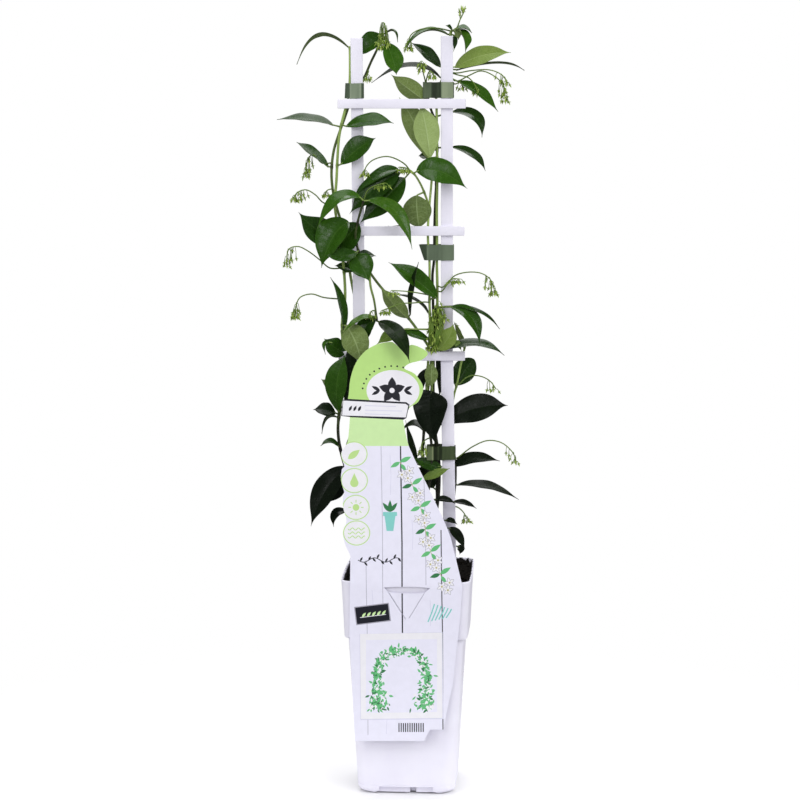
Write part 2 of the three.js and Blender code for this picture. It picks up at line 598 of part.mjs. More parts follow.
// The seven climbing stems. A way is a stem's course on the sheet, [x, y, depth] from the soil up; the first is
// the main stem and the rest are side shoots. A leaf is [from x, y, over x, y, tip x, y, width, face, depths]:
// face 0 turns its upper side to the eye, 90 to the sky, 180 away from the eye.
const VINES = [
  {
    name: 'vine_left_front',
    radius: 1.35,
    ways: [
      [[398, 600, 6], [396, 577, 6], [385, 550, 0], [366, 515, -4], [350, 480, -6], [341, 452, -6], [338, 430, -6],
        [340, 408, -4], [344, 380, -1], [345, 357, 0], [342.5, 338, 0], [342.5, 318, 0], [345, 300, 0],
        [344.3, 275, 0], [341.5, 250, 0], [337, 222, 0], [334.8, 205, 0], [336.5, 180, 0], [337.5, 158, 0],
        [339, 138, 0], [342, 122, 0], [345.6, 108, 0.3], [347.7, 96, 0], [348.3, 80, 0], [348.4, 60, 0], [348.4, 47, 0]],
    ],
    leaves: [
      [348.4, 46.5, 325, 35.5, 296.7, 64.6, 16, 58, [0, -6, -14]],
      [333, 125, 306, 114, 277, 118.5, 19, 57, [0, 8, 14]],
      [346, 126.5, 371, 120.5, 393.8, 123.3, 20, 40, [-6, -13, -16]],
      [341, 164.5, 356, 148, 375.6, 138.3, 24, 25, [-4, -8, -10]],
      [346, 331, 343.5, 302, 328.4, 277.2, 18, 58, [-4, -9, -16]],
      [340, 342, 331, 344, 325.5, 353.5, 19, 40, [-4, -9, -12]],
      [338.5, 412, 338, 384, 346.5, 357.5, 23, 12, [-8, -13, -9]],
      [341, 395, 329, 386, 321.3, 379, 12, 140, [1, 5, 8]],
      [335.5, 413, 325, 410, 313.1, 409.6, 19, 42, [-6, -10, -8]],
      [337.5, 417, 327, 419, 321.7, 434, 11, 82, [-8, -15, -22]],
      [339.5, 447, 330, 442, 320.5, 446, 11, 60, [-7, -11, -13]],
      [347, 467, 322.5, 489, 310.9, 526.4, 26, 18, [-8, -14, -18]],
      [345, 481, 338, 492, 327, 503, 15, 30, [-4, -6, -8]],
      [347, 511, 336, 514, 333.6, 526.8, 12, 40, [-5, -9, -14]],
      [345, 221.5, 337, 240, 321.3, 267, 34, 10, [-8, -11.5, -13], 15],
      [336, 224, 316, 227, 298.7, 212.5, 25, 28, [-3, -5, -6]],
      [344, 268, 339, 267, 334.7, 266, 9, 150, [1, 3, 4]],
      [345, 327, 355, 341, 364, 357, 26, 172, [-5, -13, -17]],
    ],
    sprays: [
      { way: [[330, 268, -2], [320, 260, -4], [308, 251, -6], [298, 246.5, -8], [289, 249, -8], [286.5, 264, -8]], buds: 8 },
      { way: [[324, 297.5, -2], [311.5, 294, -4], [300, 297.5, -6], [296, 306, -6], [295, 315, -6]], buds: 8 },
      { way: [[324, 203, -3], [315, 194.5, -5], [306, 189.8, -6], [298, 192, -6], [293, 198, -6]], buds: 9, share: 0.4 },
    ],
  },
  {
    name: 'vine_left_back',
    radius: 1.3,
    ways: [
      [[404, 600, 15], [403, 577, 15], [396, 545, 12], [381, 500, 10], [369, 450, 8], [362, 400, 8], [361, 350, 8],
        [360, 318, 7], [355, 298, 6], [350.5, 276, 6], [347, 250, 6], [341, 222, 6], [334.2, 198, 6],
        [331.5, 175, 5], [333.5, 152, 5], [338, 136.5, 5.8], [344, 120, 6], [348.5, 107, 7], [354, 93, 8],
        [360.5, 83, 7.5], [364.8, 76, 6.5], [371, 62, 4], [378.5, 46, 2], [382, 34, 1]],
    ],
    leaves: [
      [328.5, 167, 311, 150, 296.7, 142, 18, 56, [4, 10, 16]],
      [379, 36, 368, 41, 354, 47.5, 26, 150, [4, 7, 9], 10],
      [386.5, 42.5, 395.5, 57.5, 396.5, 74.5, 21, 20, [-2, -8.5, -11]],
      [385, 33.5, 394, 31, 397.8, 42.3, 8, 75, [0, -4, -8]],
      [363, 430, 352, 441, 345, 458, 20, 70, [12, 22, 34]],
      [368, 455, 380, 451, 392, 462, 20, 70, [12, 26, 36]],
      [384, 509, 372, 505, 360, 515, 20, 70, [14, 28, 38]],
      [362, 385, 372, 380, 384, 386, 21, 70, [11, 24, 34]],
      [344, 236, 338, 241, 332, 252, 20, 80, [9, 24, 38]],
      [350, 263, 357, 262, 363, 269, 20, 80, [9, 24, 36]],
    ],
    sprays: [
      { way: [[322, 163, 7], [313, 154.5, 8], [308.5, 158, 8], [305.5, 174, 8]], buds: 9, share: 0.4 },
      { way: [[331.5, 189, 3], [327, 190.5, 2], [325.5, 193, 2]], buds: 4 },
      { way: [[382.5, 26, 0], [383, 22, 0]], buds: 4 },
      { way: [[383, 34, -3], [385, 42, -4], [383.5, 50, -4]], buds: 8, share: 0.6 },
      { way: [[368.5, 71, 3], [366.5, 77, 2]], buds: 4 },
    ],
  },
  {
    name: 'vine_middle',
    radius: 1.3,
    ways: [
      [[412, 600, 3], [412, 577, 3], [416, 540, 6], [421, 480, 9], [424, 430, 9], [428, 390, 7.5], [430.5, 352, 7],
        [420, 334, 4], [410, 320, 2], [395, 303, 3], [380, 286, -2], [369, 271, -7], [359.5, 254, -10],
        [355.5, 236, -13], [358, 221, -14], [363.5, 201, -15]],
      [[369.5, 272, -7], [370.5, 286, -6], [374, 300, -7], [376, 313, -8], [377, 321, -9]],
    ],
    leaves: [
      [361, 198, 337, 199.5, 316.7, 229.1, 19, 45, [-16, -20, -24]],
      [367.7, 200.5, 396, 212.5, 412.2, 249.5, 18, 35, [-16, -19, -19]],
      [408, 318, 394, 304, 380, 286.2, 20, 140, [0, -5, -8]],
      [410, 315, 412.5, 288, 418, 262.5, 15, 78, [-1, -8, -12]],
      [353, 252, 341, 257, 325.5, 254, 21, 26, [-21, -30, -33], 10],
      [375.5, 316.5, 361, 321.5, 343.5, 332, 16, 50, [-11, -27, -30]],
      [375, 319, 369, 333, 366, 349, 18, 12, [-11, -25, -28], 8],
      [378.5, 321.5, 397, 335, 409.8, 362.5, 19, 28, [-14, -42, -52]],
      [355, 255, 360, 267, 369.4, 281, 26, 15, [-13, -15, -16]],
      [359, 253.5, 367, 253, 375.2, 256.3, 10, 40, [-11, -9, -6]],
      [420, 480, 409, 471, 398, 475, 20, 70, [12, 26, 36]],
      [423, 430, 412, 425, 400, 432, 20, 70, [12, 26, 34]],
    ],
    sprays: [
      { way: [[368, 190, -17], [376, 185.5, -18], [385, 183, -18]], buds: 6 },
      { way: [[372, 311, -12], [369.5, 315, -13]], buds: 3, share: 0.7 },
    ],
  },
  {
    name: 'vine_right_tall',
    radius: 1.3,
    ways: [
      [[424, 600, 13], [424, 577, 13], [430, 545, 11], [436, 515, 9], [439, 490, 7], [439, 460, 4], [436.5, 440, 2.5],
        [433, 420, 2], [431.8, 395, 1.2], [432.5, 365, 1.2], [434, 345, 1.2], [437.3, 325, 1], [437.3, 300, 1],
        [437.3, 283, 1], [436.8, 262, 1], [437, 240, 1], [436.8, 210, 1], [437.2, 185, 1], [437, 150, 1],
        [436.8, 125, 1], [436.6, 110, 1], [436.4, 95, 2.5], [440, 84, 6], [446, 72, 7], [448.5, 55, 7], [450, 38, 6],
        [451, 31, 5]],
    ],
    leaves: [
      [448.5, 34.5, 425, 29, 403.4, 51.2, 16, 56, [5, -4, -12]],
      [440.5, 67, 427, 54, 410.4, 42.3, 18, 42, [6, 4, 4]],
      [440.5, 77.5, 409, 66, 371.5, 82.8, 14, 62, [9, 7, 3]],
      [454, 66, 483, 53, 510.5, 52.6, 20, 42, [6, 0, -6]],
      [456, 71, 496, 63.5, 524.5, 70.5, 15, 70, [8, 13, 17]],
      [457, 80.5, 481, 90.5, 498.2, 111.6, 20, 52, [7, 0, -4]],
      [454, 35, 463, 38, 466.7, 52, 20, 55, [4, -3, -6]],
      [453.5, 33, 463, 26.5, 471.5, 27.7, 13, 40, [4, 6, 8]],
      [450.5, 31.5, 448.5, 27.5, 446, 25.5, 8, 40, [4, 1, 0]],
      [432, 398, 430, 420, 433, 444, 34, 14, [-7, -11, -11]],
      [439.8, 309.5, 466, 314, 479, 343, 18, 30, [-7, -14, -16]],
      [439.8, 305.5, 479, 307, 499.7, 329, 14, 62, [-7.5, -9.5, -7]],
      [439.5, 347.5, 474, 338, 504.5, 351.7, 18, 62, [-6.5, -13, -17]],
      [439, 347, 445, 337, 452, 324.5, 15, 30, [-7, -11.5, -12]],
    ],
    sprays: [
      { way: [[456, 70, 4], [472, 69, 0], [490, 71.5, -3], [503, 78, -4], [506.5, 90, -4], [506, 103, -4]], buds: 10,
        share: 0.34 },
      { way: [[456, 27, 3], [461.5, 16, 2], [464.5, 8.5, 2]], buds: 4 },
      { way: [[436, 28, 2], [420, 29.5, 0], [411, 35, -3], [407, 47, -5]], buds: 6, share: 0.2 },
      { way: [[442, 291, -6.5], [455, 275.5, -8], [478, 272.5, -9], [490, 279, -9], [495, 292, -9]], buds: 9, share: 0.32 },
      { way: [[443, 287, -7], [452, 279, -9], [460, 279, -10]], buds: 8, share: 0.5 },
      { way: [[435.5, 314, -6], [436, 325, -7], [434.5, 341, -6]], buds: 9, share: 0.8 },
    ],
  },
  {
    name: 'vine_right_middle',
    radius: 1.25,
    ways: [
      [[416, 600, -12], [416, 577, -12], [420, 545, -8], [427, 500, -6], [431, 470, -5], [431.5, 445, -3.5],
        [427.5, 420, -2], [426.5, 395, -1], [428, 365, 1], [429, 345, 1], [430, 325, 0], [429.5, 300, 0],
        [429.5, 262, 0.5], [428, 240, 1], [428, 226, 1], [429.5, 205, 0], [431.5, 182, -1], [432.5, 168, -1],
        [431, 159, -1]],
      [[429.3, 209, 0], [427, 200, 0], [421, 185, -2], [414.5, 174.5, -5], [410, 170.5, -6]],
    ],
    leaves: [
      [430, 159, 427, 133, 420.6, 103, 25, 172, [-3, -2.5, 0.8], 8],
      [416.5, 171.5, 441, 168.5, 467.3, 188.3, 27, 15, [-8, -14, -16]],
      [416, 196, 417, 211, 419, 228, 27, 175, [-1, -1, 1.5], 6],
      [400, 173, 373, 189, 349.5, 214, 24, 8, [-6, -7, -7.5], 8],
      [405, 178, 385, 199, 359.5, 223.5, 30, 8, [-4.5, -5, -5.5], 8],
      [399, 170, 381, 171, 357, 191, 15, 38, [-7, -9.5, -10]],
      [431, 294, 412, 277.5, 388.7, 262.9, 19, 150, [-1, -2, 0]],
      [428.5, 313, 415, 300, 393, 294, 12, 78, [4, 9, 9]],
      [427.5, 341, 412, 334, 397, 329, 16, 52, [-1, -6, -10]],
      [429.5, 385, 433, 375, 432, 363.5, 15, 170, [-6, -7, -5]],
      [428, 466, 423, 464, 417, 461.5, 7, 40, [-7, -8, -9]],
      [423, 478, 436, 473.5, 449.5, 468.2, 11, 25, [-9, -12, -14]],
      [430, 466.5, 423, 464.5, 413.5, 463, 14, 50, [-3, -1, 0]],
      [434, 500, 455, 500.5, 475.9, 507, 12, 52, [-9, -11, -12]],
      [446, 521, 451, 520.5, 457.3, 524.5, 7, 40, [-8, -9, -9]],
      [449, 528, 457.5, 536, 464, 549.3, 14, 25, [-9, -12, -14]],
    ],
    sprays: [
      { way: [[404, 163.5, -7], [388, 156.5, -8], [373, 160, -8], [366, 167, -8], [364.5, 173, -8]], buds: 4, share: 0.15 },
      { way: [[406, 168, -9], [399, 167, -10]], buds: 8, share: 0.8 },
      { way: [[424, 302, -9], [412, 303, -18], [402, 303.5, -18], [390, 307.5, -17], [382, 310.5, -17]], buds: 7,
        share: 0.2 },
      { way: [[424, 294, -9], [412, 292, -19], [402, 291, -19], [391.5, 290.5, -17]], buds: 3, share: 0.1 },
      { way: [[429, 314, -5], [429.5, 328, -6], [428, 343, -5]], buds: 9, share: 0.8 },
      { way: [[427, 439, -6], [422.5, 443, -8], [421.5, 452, -9]], buds: 6, share: 0.5 },
    ],
  },
  {
    name: 'vine_right_back',
    radius: 1.3,
    ways: [
      [[430, 600, 20], [430, 577, 20], [434, 540, 16], [437, 500, 13.5], [436, 450, 11], [433.5, 400, 9],
        [433.5, 360, 9], [433.5, 330, 8], [433, 300, 7], [432.5, 275, 6], [434, 260, 6], [434.5, 226, 6],
        [435.3, 200, 6], [436.3, 182, 6], [437, 160, 6], [437, 140, 6], [435, 121, 6], [430.5, 108, 6], [428, 98, 6],
        [426, 87, 6]],
    ],
    leaves: [
      [427, 158, 411, 129, 397.6, 97.2, 24, 165, [4, 7, 7], 8],
      [418, 103, 408, 89, 391.3, 74.5, 18, 150, [3, 0.5, -3]],
      [430, 158, 424, 156, 418.5, 156, 9, 30, [8, 10, 11]],
      [428, 231, 407, 229, 388, 226, 12, 66, [9, 11, 12]],
      [440, 421, 474, 407, 506.4, 404.3, 27, 15, [13, 11.5, 6], 8],
      [433.5, 488, 427, 477, 415, 466, 16, 30, [10, 7, 5]],
      [452, 112, 473, 117.5, 480.6, 137.3, 17, 42, [6.5, 5, 3]],
      [451, 147.5, 473, 153, 483.6, 170.2, 17, 42, [6.5, 6, 4]],
      [437, 151, 428, 141, 420, 128, 20, 80, [9, 24, 36]],
      [438, 182, 446, 172, 452, 166, 20, 80, [9, 22, 34]],
      [433, 405, 428, 411, 424, 424, 22, 80, [12, 26, 38]],
      [437, 418, 460, 413, 478, 411, 20, 80, [12, 24, 34]],
      [437, 500, 425, 491, 412, 498, 21, 72, [16, 30, 42]],
    ],
    sprays: [
      { way: [[425, 80, 2], [422.5, 70, -4], [421, 61, -5]], buds: 7, share: 0.3 },
      { way: [[426.5, 79, 1.5], [430, 71, -4], [433.5, 75, -5]], buds: 4, share: 0.3 },
    ],
  },
  {
    name: 'vine_right_outer',
    radius: 1.15,
    ways: [
      [[436, 600, 5], [436, 577, 5], [445, 545, 9], [452, 510, 9.5], [455.2, 484, 8.5], [455.6, 468, 8], [453, 440, 8],
        [451.5, 415, 7.5], [453.8, 396, 7], [457, 384, 5], [461, 364, 3.5], [465, 346, 3]],
    ],
    leaves: [
      [456, 385, 462, 369, 472, 358.5, 20, 10, [9, 11, 13]],
      [462, 349, 458, 337, 453.8, 322.5, 11, 150, [5, 5, 4]],
      [456.5, 468, 479, 457, 500.6, 465.5, 18, 55, [6, 2, 0]],
      [457, 484.5, 488, 483.5, 518.8, 499, 17, 60, [7, 4, 2]],
      [457.5, 546.5, 460.5, 549, 459.5, 554.5, 8, 20, [7, 5, 4]],
    ],
    sprays: [
      { way: [[459, 384, 3], [465, 378.5, 2], [472, 375.5, 1], [483, 377, 0], [491, 382, 0], [497, 390, 0]], buds: 6 },
      { way: [[457, 458, 6], [472, 447, 4], [488, 440.5, 3], [502, 443, 2], [513, 453, 2], [516, 461, 2]], buds: 6 },
      { way: [[459, 508, 6], [464, 513, 4], [467, 519, 4]], buds: 4 },
      { way: [[463.5, 338, 4], [459, 331, 4.5], [454.5, 323, 4.8]], buds: 1, share: 0.1 },
    ],
  },
];

function stemSteps(way) {
  return Math.round(1.2 * way.length);
}

function stemGeometries(vine) {
  return vine.ways.map((way, k) => {
    const radius = k === 0 ? vine.radius : vine.radius * 0.8;
    return tube(curveThrough(way), radius, STEM_SIDES, stemSteps(way));
  });
}

function vineSolid(vine) {
  const stem = vine.ways.map(curveThrough);
  const leaves = vine.leaves.map((row) => leafGeometry(stem, row));
  const sprays = vine.sprays.flatMap((spray) => sprayGeometries(stem, spray));
  return largestBody(joined([...stemGeometries(vine), ...leaves, ...sprays]));
}

// A stem's hole in the soil: its own lower end, a little fatter
const HOLE_CLEARANCE = 0.6;
const IN_THE_SOIL = 590;

function stemHoles(vine) {
  const rooted = vine.ways.filter((way) => way[0][1] > IN_THE_SOIL);
  return rooted.map((way) => {
    const [x, y, depth] = way[0];
    const hole = [[x, y + 1, depth], ...way.slice(1)];
    return tube(curveThrough(hole), vine.radius + HOLE_CLEARANCE, STEM_SIDES, stemSteps(way));
  });
}

// Materials
function material(color, roughness) {
  return new THREE.MeshStandardMaterial({ color, roughness, metalness: 0 });
}

const WHITE_PLASTIC = material(0xeceaf6, 0.55);
const PEAT = material(0x14110f, 0.95);
const TAPE = material(0x6d7c62, 0.45);
const CARD = material(0xb9dd88, 0.4);
const LEAF_GREEN = material(0x33601a, 0.35);

// Putting the plant together
const plant = new THREE.Group();

function addPiece(name, geometry, finish, group = plant) {
  const mesh = new THREE.Mesh(geometry, finish);
  mesh.name = name;
  group.add(mesh);
}

// What the pot's own group holds is turned with the pot
const pottery = new THREE.Group();
pottery.position.x = POT_AXIS_X;
pottery.rotation.z = POT_TURN;
plant.add(pottery);
addPiece('pot', potGeometry(), WHITE_PLASTIC, pottery);
addPiece('label', geometryOf(labelSolid()), CARD, pottery);

for (const stake of [LEFT_STAKE, RIGHT_STAKE]) {
  addPiece(stake.name, geometryOf(stakeSolid(stake)), WHITE_PLASTIC);
}
for (const rung of RUNGS) {
  addPiece(rung.name, geometryOf(rungSolid(rung)), WHITE_PLASTIC);
}
for (const tie of TIES) {
  addPiece(tie.name, tieGeometry(tie), TAPE);
}
for (const vine of VINES) {
  addPiece(vine.name, geometryOf(vineSolid(vine)), LEAF_GREEN);
}

// The soil is turned with the pot, then the holes for the stems and stakes are cut in it
function stakeHole(stake) {
  const bottom = stakeOutline(stake, STAKE_LOWER_WIDTH + 1, STAKE_THICK + 1, STAKE_FOOT - 2);
  const top = stakeOutline(stake, STAKE_LOWER_WIDTH + 1, STAKE_THICK + 1, POT_HEIGHT + 10);
  return loft([bottom, top]);
}

const slotted = soilSolid().subtract(solidOf(hookSlot()));
const turned = slotted.rotate([0, 0, THREE.MathUtils.radToDeg(POT_TURN)]).translate([POT_AXIS_X, 0, 0]);
const holes = [LEFT_STAKE, RIGHT_STAKE].map(stakeHole).concat(VINES.flatMap(stemHoles));
const soil = holes.reduce((whole, hole) => whole.subtract(solidOf(hole)), turned);
addPiece('soil', geometryOf(largestBody(soil)), PEAT);

export default plant;
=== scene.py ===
# A star jasmine in its square pot, trained up a ladder trellis: the looks, built round the part's solids.
# Metres, +Z up, the ladder in the XZ plane and its front towards -Y.
import math
import random

import bpy
from mathutils import Matrix, Vector, noise
from mathutils.geometry import delaunay_2d_cdt


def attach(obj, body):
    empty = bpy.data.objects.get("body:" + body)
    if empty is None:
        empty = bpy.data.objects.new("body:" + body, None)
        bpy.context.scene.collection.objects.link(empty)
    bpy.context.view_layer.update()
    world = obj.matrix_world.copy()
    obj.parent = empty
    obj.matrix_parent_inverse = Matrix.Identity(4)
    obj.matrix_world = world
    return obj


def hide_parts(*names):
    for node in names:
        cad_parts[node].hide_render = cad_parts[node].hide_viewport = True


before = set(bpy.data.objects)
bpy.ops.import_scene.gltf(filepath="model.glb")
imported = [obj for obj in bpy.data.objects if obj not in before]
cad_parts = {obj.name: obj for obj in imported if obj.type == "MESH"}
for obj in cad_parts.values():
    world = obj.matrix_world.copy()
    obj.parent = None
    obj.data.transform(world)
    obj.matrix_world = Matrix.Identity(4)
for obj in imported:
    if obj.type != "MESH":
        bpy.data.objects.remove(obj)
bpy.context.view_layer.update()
MM = 0.001

# The pot
# A square pot moulded in one piece of white polypropylene, with thin walls, a wide collar above a ledge,
# a rolled lip, four rounded feet and a short skirt ring under its drained floor. Its skin is matt and
# faintly dappled.
POT_MIDDLE = 9 * MM
POT_TURN = math.radians(-3.5)
POT_HEIGHT = 220 * MM
RIM_HALF = 64.1 * MM
RIM_CORNER = 11 * MM
COLLAR_FOOT_HALF = 61.1 * MM
COLLAR_FOOT = 160.8 * MM
COLLAR_ROUND = 2.2 * MM
UNDERCUT = 1.6 * MM
WALL_TOP_HALF = 57.4 * MM
BASE_HALF = 48.6 * MM
BASE_CORNER = 13 * MM
FOOT_INSET = 4 * MM
FOOT_RISE = 6.5 * MM
FOOT_CORNER_GROWTH = 8 * MM
PAD_HIGH = 0.9 * MM
PAD_RADIUS = 2 * MM
PAD_PLACE = 33 * MM
PAD_SETBACK = 4.5 * MM
GROOVE_HEIGHT = 9.3 * MM
GROOVE_DEEP = 0.35 * MM
WALL = 1.9 * MM
FACE_DOME = 0.9 * MM
FLOOR_UNDERSIDE = 8 * MM
FLOOR_TOP = 10.2 * MM
FOOT_CUT_HALF = 27 * MM
FOOT_CUT_FLARE = 4.5 * MM
FOOT_FLARE_HIGH = 3 * MM
FOOT_THICK = 11 * MM
SKIRT_SETBACK = 4.2 * MM
SKIRT_FOOT = 1.6 * MM
NOTCH_HALF = 3.1 * MM
NOTCH_PLACE = 7 * MM
RIB_SETBACK = 2.6 * MM
DRAIN_RADIUS = 4.5 * MM
DRAIN_SPREAD = 27 * MM
CORNER_STEPS = 9
SIDE_STEPS = 8
FOOT_STEPS = 8
ROUND_STEPS = 4
LIP_ROUND = WALL / 2
GROOVE_LEVELS = [(-0.4 * MM, 0), (-0.15 * MM, 1), (0.15 * MM, 1), (0.4 * MM, 0)]
WALL_LEVELS = [20 * MM, 60 * MM, 110 * MM, COLLAR_FOOT - 1.2 * MM]
COLLAR_LEVELS = [COLLAR_FOOT + 20 * MM, COLLAR_FOOT + 40 * MM, POT_HEIGHT - 3.2 * MM]
COLLAR_HOLLOW = 0.25 * MM
INNER_LEDGE = (3.8 * MM, 5.6 * MM)
CUT_BELOW = -2 * MM
UNDER_CORNER = 5 * MM
CREASE = math.radians(38)
DARKENING_FOOT = 9 * MM
DARKENING_TOP = 0.6 * MM
DARKENING_COLOR = (0.010, 0.008, 0.007)


def square_ring(half, corner, height, side_steps=SIDE_STEPS):
    """One level of the pot: a square with round corners and slightly domed sides."""
    ring = []
    for side in range(4):
        turn = Matrix.Rotation(side * math.pi / 2, 3, "Z")
        for step in range(CORNER_STEPS + 1):
            angle = math.pi / 2 * (step / CORNER_STEPS - 1)
            x = half - corner + corner * math.cos(angle)
            y = -half + corner + corner * math.sin(angle)
            ring.append(turn @ Vector((x, y, height)))
        flat = half - corner
        for step in range(1, side_steps):
            share = 2 * step / side_steps - 1
            dome = FACE_DOME * (half / RIM_HALF) * (1 - share * share)
            ring.append(turn @ Vector((half + dome, flat * share, height)))
    return ring


def turns_round(sides):
    """The angles of a regular ring's points."""
    return [2 * math.pi * k / sides for k in range(sides)]


def skin(rings):
    """Points and faces of a closed skin over level rings that all have as many points."""
    count = len(rings[0])
    points = [point for ring in rings for point in ring]
    faces = []
    for row in range(len(rings) - 1):
        for k in range(count):
            a = row * count + k
            b = row * count + (k + 1) % count
            faces.append((a, b, b + count, a + count))
    last = (len(rings) - 1) * count
    faces.append(tuple(reversed(range(count))))
    faces.append(tuple(range(last, last + count)))
    return points, faces


def new_piece(name, points, faces, crease=CREASE):
    """A smooth mesh whose edges sharper than the crease stay crisp."""
    mesh = bpy.data.meshes.new(name)
    mesh.from_pydata([tuple(point) for point in points], [], faces)
    mesh.validate()
    mesh.polygons.foreach_set("use_smooth", [True] * len(mesh.polygons))
    mesh.set_sharp_from_angle(angle=crease)
    piece = bpy.data.objects.new(name, mesh)
    bpy.context.scene.collection.objects.link(piece)
    return piece


def quarter_turned(points, quarters):
    turn = Matrix.Rotation(quarters * math.pi / 2, 3, "Z")
    return [turn @ point for point in points]


def box_skin(low, high, quarters=0):
    """A box between two corners, then turned about the pot's axis."""
    corners = [(low[0], low[1]), (high[0], low[1]), (high[0], high[1]), (low[0], high[1])]
    levels = [[Vector((x, y, z)) for x, y in corners] for z in (low[2], high[2])]
    return skin([quarter_turned(level, quarters) for level in levels])


def channel_skin(profile, reach, quarters=0):
    """A long bar of one (across, height) profile, through the whole pot."""
    return skin([quarter_turned([Vector((x, y, z)) for x, z in profile], quarters) for y in (-reach, reach)])


def round_skin(x, y, radius, low, high):
    around = [(x + radius * math.cos(a), y + radius * math.sin(a)) for a in turns_round(20)]
    return skin([[Vector((*spot, z)) for spot in around] for z in (low, high)])


def carve(piece, cutters, operation="DIFFERENCE"):
    """Cuts each cutter out of the piece, or joins it on, and clears the cutter away."""
    for points, faces in cutters:
        tool = new_piece("cutter", points, faces)
        change = piece.modifiers.new("cut", "BOOLEAN")
        change.operation = operation
        change.solver = "MANIFOLD"
        change.object = tool
        view = bpy.context.evaluated_depsgraph_get()
        carved = bpy.data.meshes.new_from_object(piece.evaluated_get(view))
        piece.modifiers.clear()
        old = piece.data
        piece.data = carved
        bpy.data.meshes.remove(old)
        bpy.data.objects.remove(tool)


def wall_half(height):
    return BASE_HALF + (WALL_TOP_HALF - BASE_HALF) * height / COLLAR_FOOT


def collar_half(height):
    flare = (RIM_HALF - COLLAR_FOOT_HALF) * (height - COLLAR_FOOT)
    return COLLAR_FOOT_HALF + flare / (POT_HEIGHT - COLLAR_FOOT)


def corner_at(height):
    return BASE_CORNER + (RIM_CORNER - BASE_CORNER) * height / POT_HEIGHT


def inner_half(height):
    return (collar_half(height) if height > COLLAR_FOOT else wall_half(height)) - WALL


def lip_ring(degrees):
    """A level of the rounded lip: 0 is its outer side, 90 its top and 180 its inner side."""
    angle = math.radians(degrees)
    out = LIP_ROUND * (1 - math.cos(angle))
    up = POT_HEIGHT - LIP_ROUND * (1 - math.sin(angle))
    return square_ring(RIM_HALF - out, RIM_CORNER - out, up)


def pot_outside():
    """Levels of the outer skin, from the rounded feet up to the middle of the lip."""
    rings = []
    for step in range(FOOT_STEPS + 1):
        angle = math.radians(90 * step / FOOT_STEPS)
        inset = 1 - math.sin(angle)
        height = PAD_HIGH + FOOT_RISE * (1 - math.cos(angle))
        corner = BASE_CORNER + FOOT_CORNER_GROWTH * inset
        rings.append(square_ring(wall_half(height) - FOOT_INSET * inset, corner, height))
    for up, deep in GROOVE_LEVELS:
        height = GROOVE_HEIGHT + up
        rings.append(square_ring(wall_half(height) - deep * GROOVE_DEEP, corner_at(height), height))
    for height in WALL_LEVELS:
        rings.append(square_ring(wall_half(height), corner_at(height), height))
    groove = COLLAR_FOOT + UNDERCUT
    skirt = COLLAR_FOOT_HALF - COLLAR_ROUND - 0.1 * MM
    rings.append(square_ring(WALL_TOP_HALF + 0.1 * MM, corner_at(COLLAR_FOOT), groove))
    rings.append(square_ring(skirt, RIM_CORNER - 1.5 * MM, groove))
    for step in range(ROUND_STEPS + 1):
        angle = math.radians(90 * step / ROUND_STEPS)
        inset = COLLAR_ROUND * (1 - math.sin(angle))
        height = COLLAR_FOOT + COLLAR_ROUND * (1 - math.cos(angle))
        rings.append(square_ring(COLLAR_FOOT_HALF - inset, RIM_CORNER - 0.5 * inset, height))
    for height in COLLAR_LEVELS:
        rings.append(square_ring(collar_half(height) - COLLAR_HOLLOW, RIM_CORNER, height))
    return rings + [lip_ring(90 * step / ROUND_STEPS) for step in range(ROUND_STEPS + 1)]


def pot_inside():
    """Levels of the inner skin, from the lip down to the floor."""
    rings = [lip_ring(90 + 90 * step / ROUND_STEPS) for step in range(1, ROUND_STEPS + 1)]
    narrow, ledge = (COLLAR_FOOT + up for up in INNER_LEDGE)
    rings.append(square_ring(inner_half(ledge), RIM_CORNER - WALL, ledge))
    rings.append(square_ring(WALL_TOP_HALF - WALL, corner_at(COLLAR_FOOT) - WALL, narrow))
    rings.append(square_ring(inner_half(FLOOR_TOP), BASE_CORNER - WALL, FLOOR_TOP))
    return rings


def skirt_ring():
    """The short ring under the floor: an offset drain notch in each side, with a rib close behind it."""
    half = wall_half(0) - SKIRT_SETBACK
    corner = BASE_CORNER + 2 * MM
    top = FLOOR_UNDERSIDE + 1 * MM
    skirt = new_piece("skirt", *skin([square_ring(half, corner, z) for z in (SKIRT_FOOT, top)]))
    inside = half - WALL
    carve(skirt, [skin([square_ring(inside, corner - WALL, z) for z in (CUT_BELOW, FLOOR_UNDERSIDE)])])
    left, right = NOTCH_PLACE - NOTCH_HALF, NOTCH_PLACE + NOTCH_HALF
    rib = -(inside - RIB_SETBACK)
    for quarters in range(4):
        notch = ((left, -half - WALL, CUT_BELOW), (right, -inside + 1 * MM, FLOOR_UNDERSIDE))
        carve(skirt, [box_skin(*notch, quarters)])
        behind = ((left - 2 * MM, rib, SKIRT_FOOT), (right + 2 * MM, rib + WALL, top))
        carve(skirt, [box_skin(*behind, quarters)], "UNION")
    points = [vertex.co.copy() for vertex in skirt.data.vertices]
    faces = [tuple(face.vertices) for face in skirt.data.polygons]
    bpy.data.objects.remove(skirt)
    return points, faces


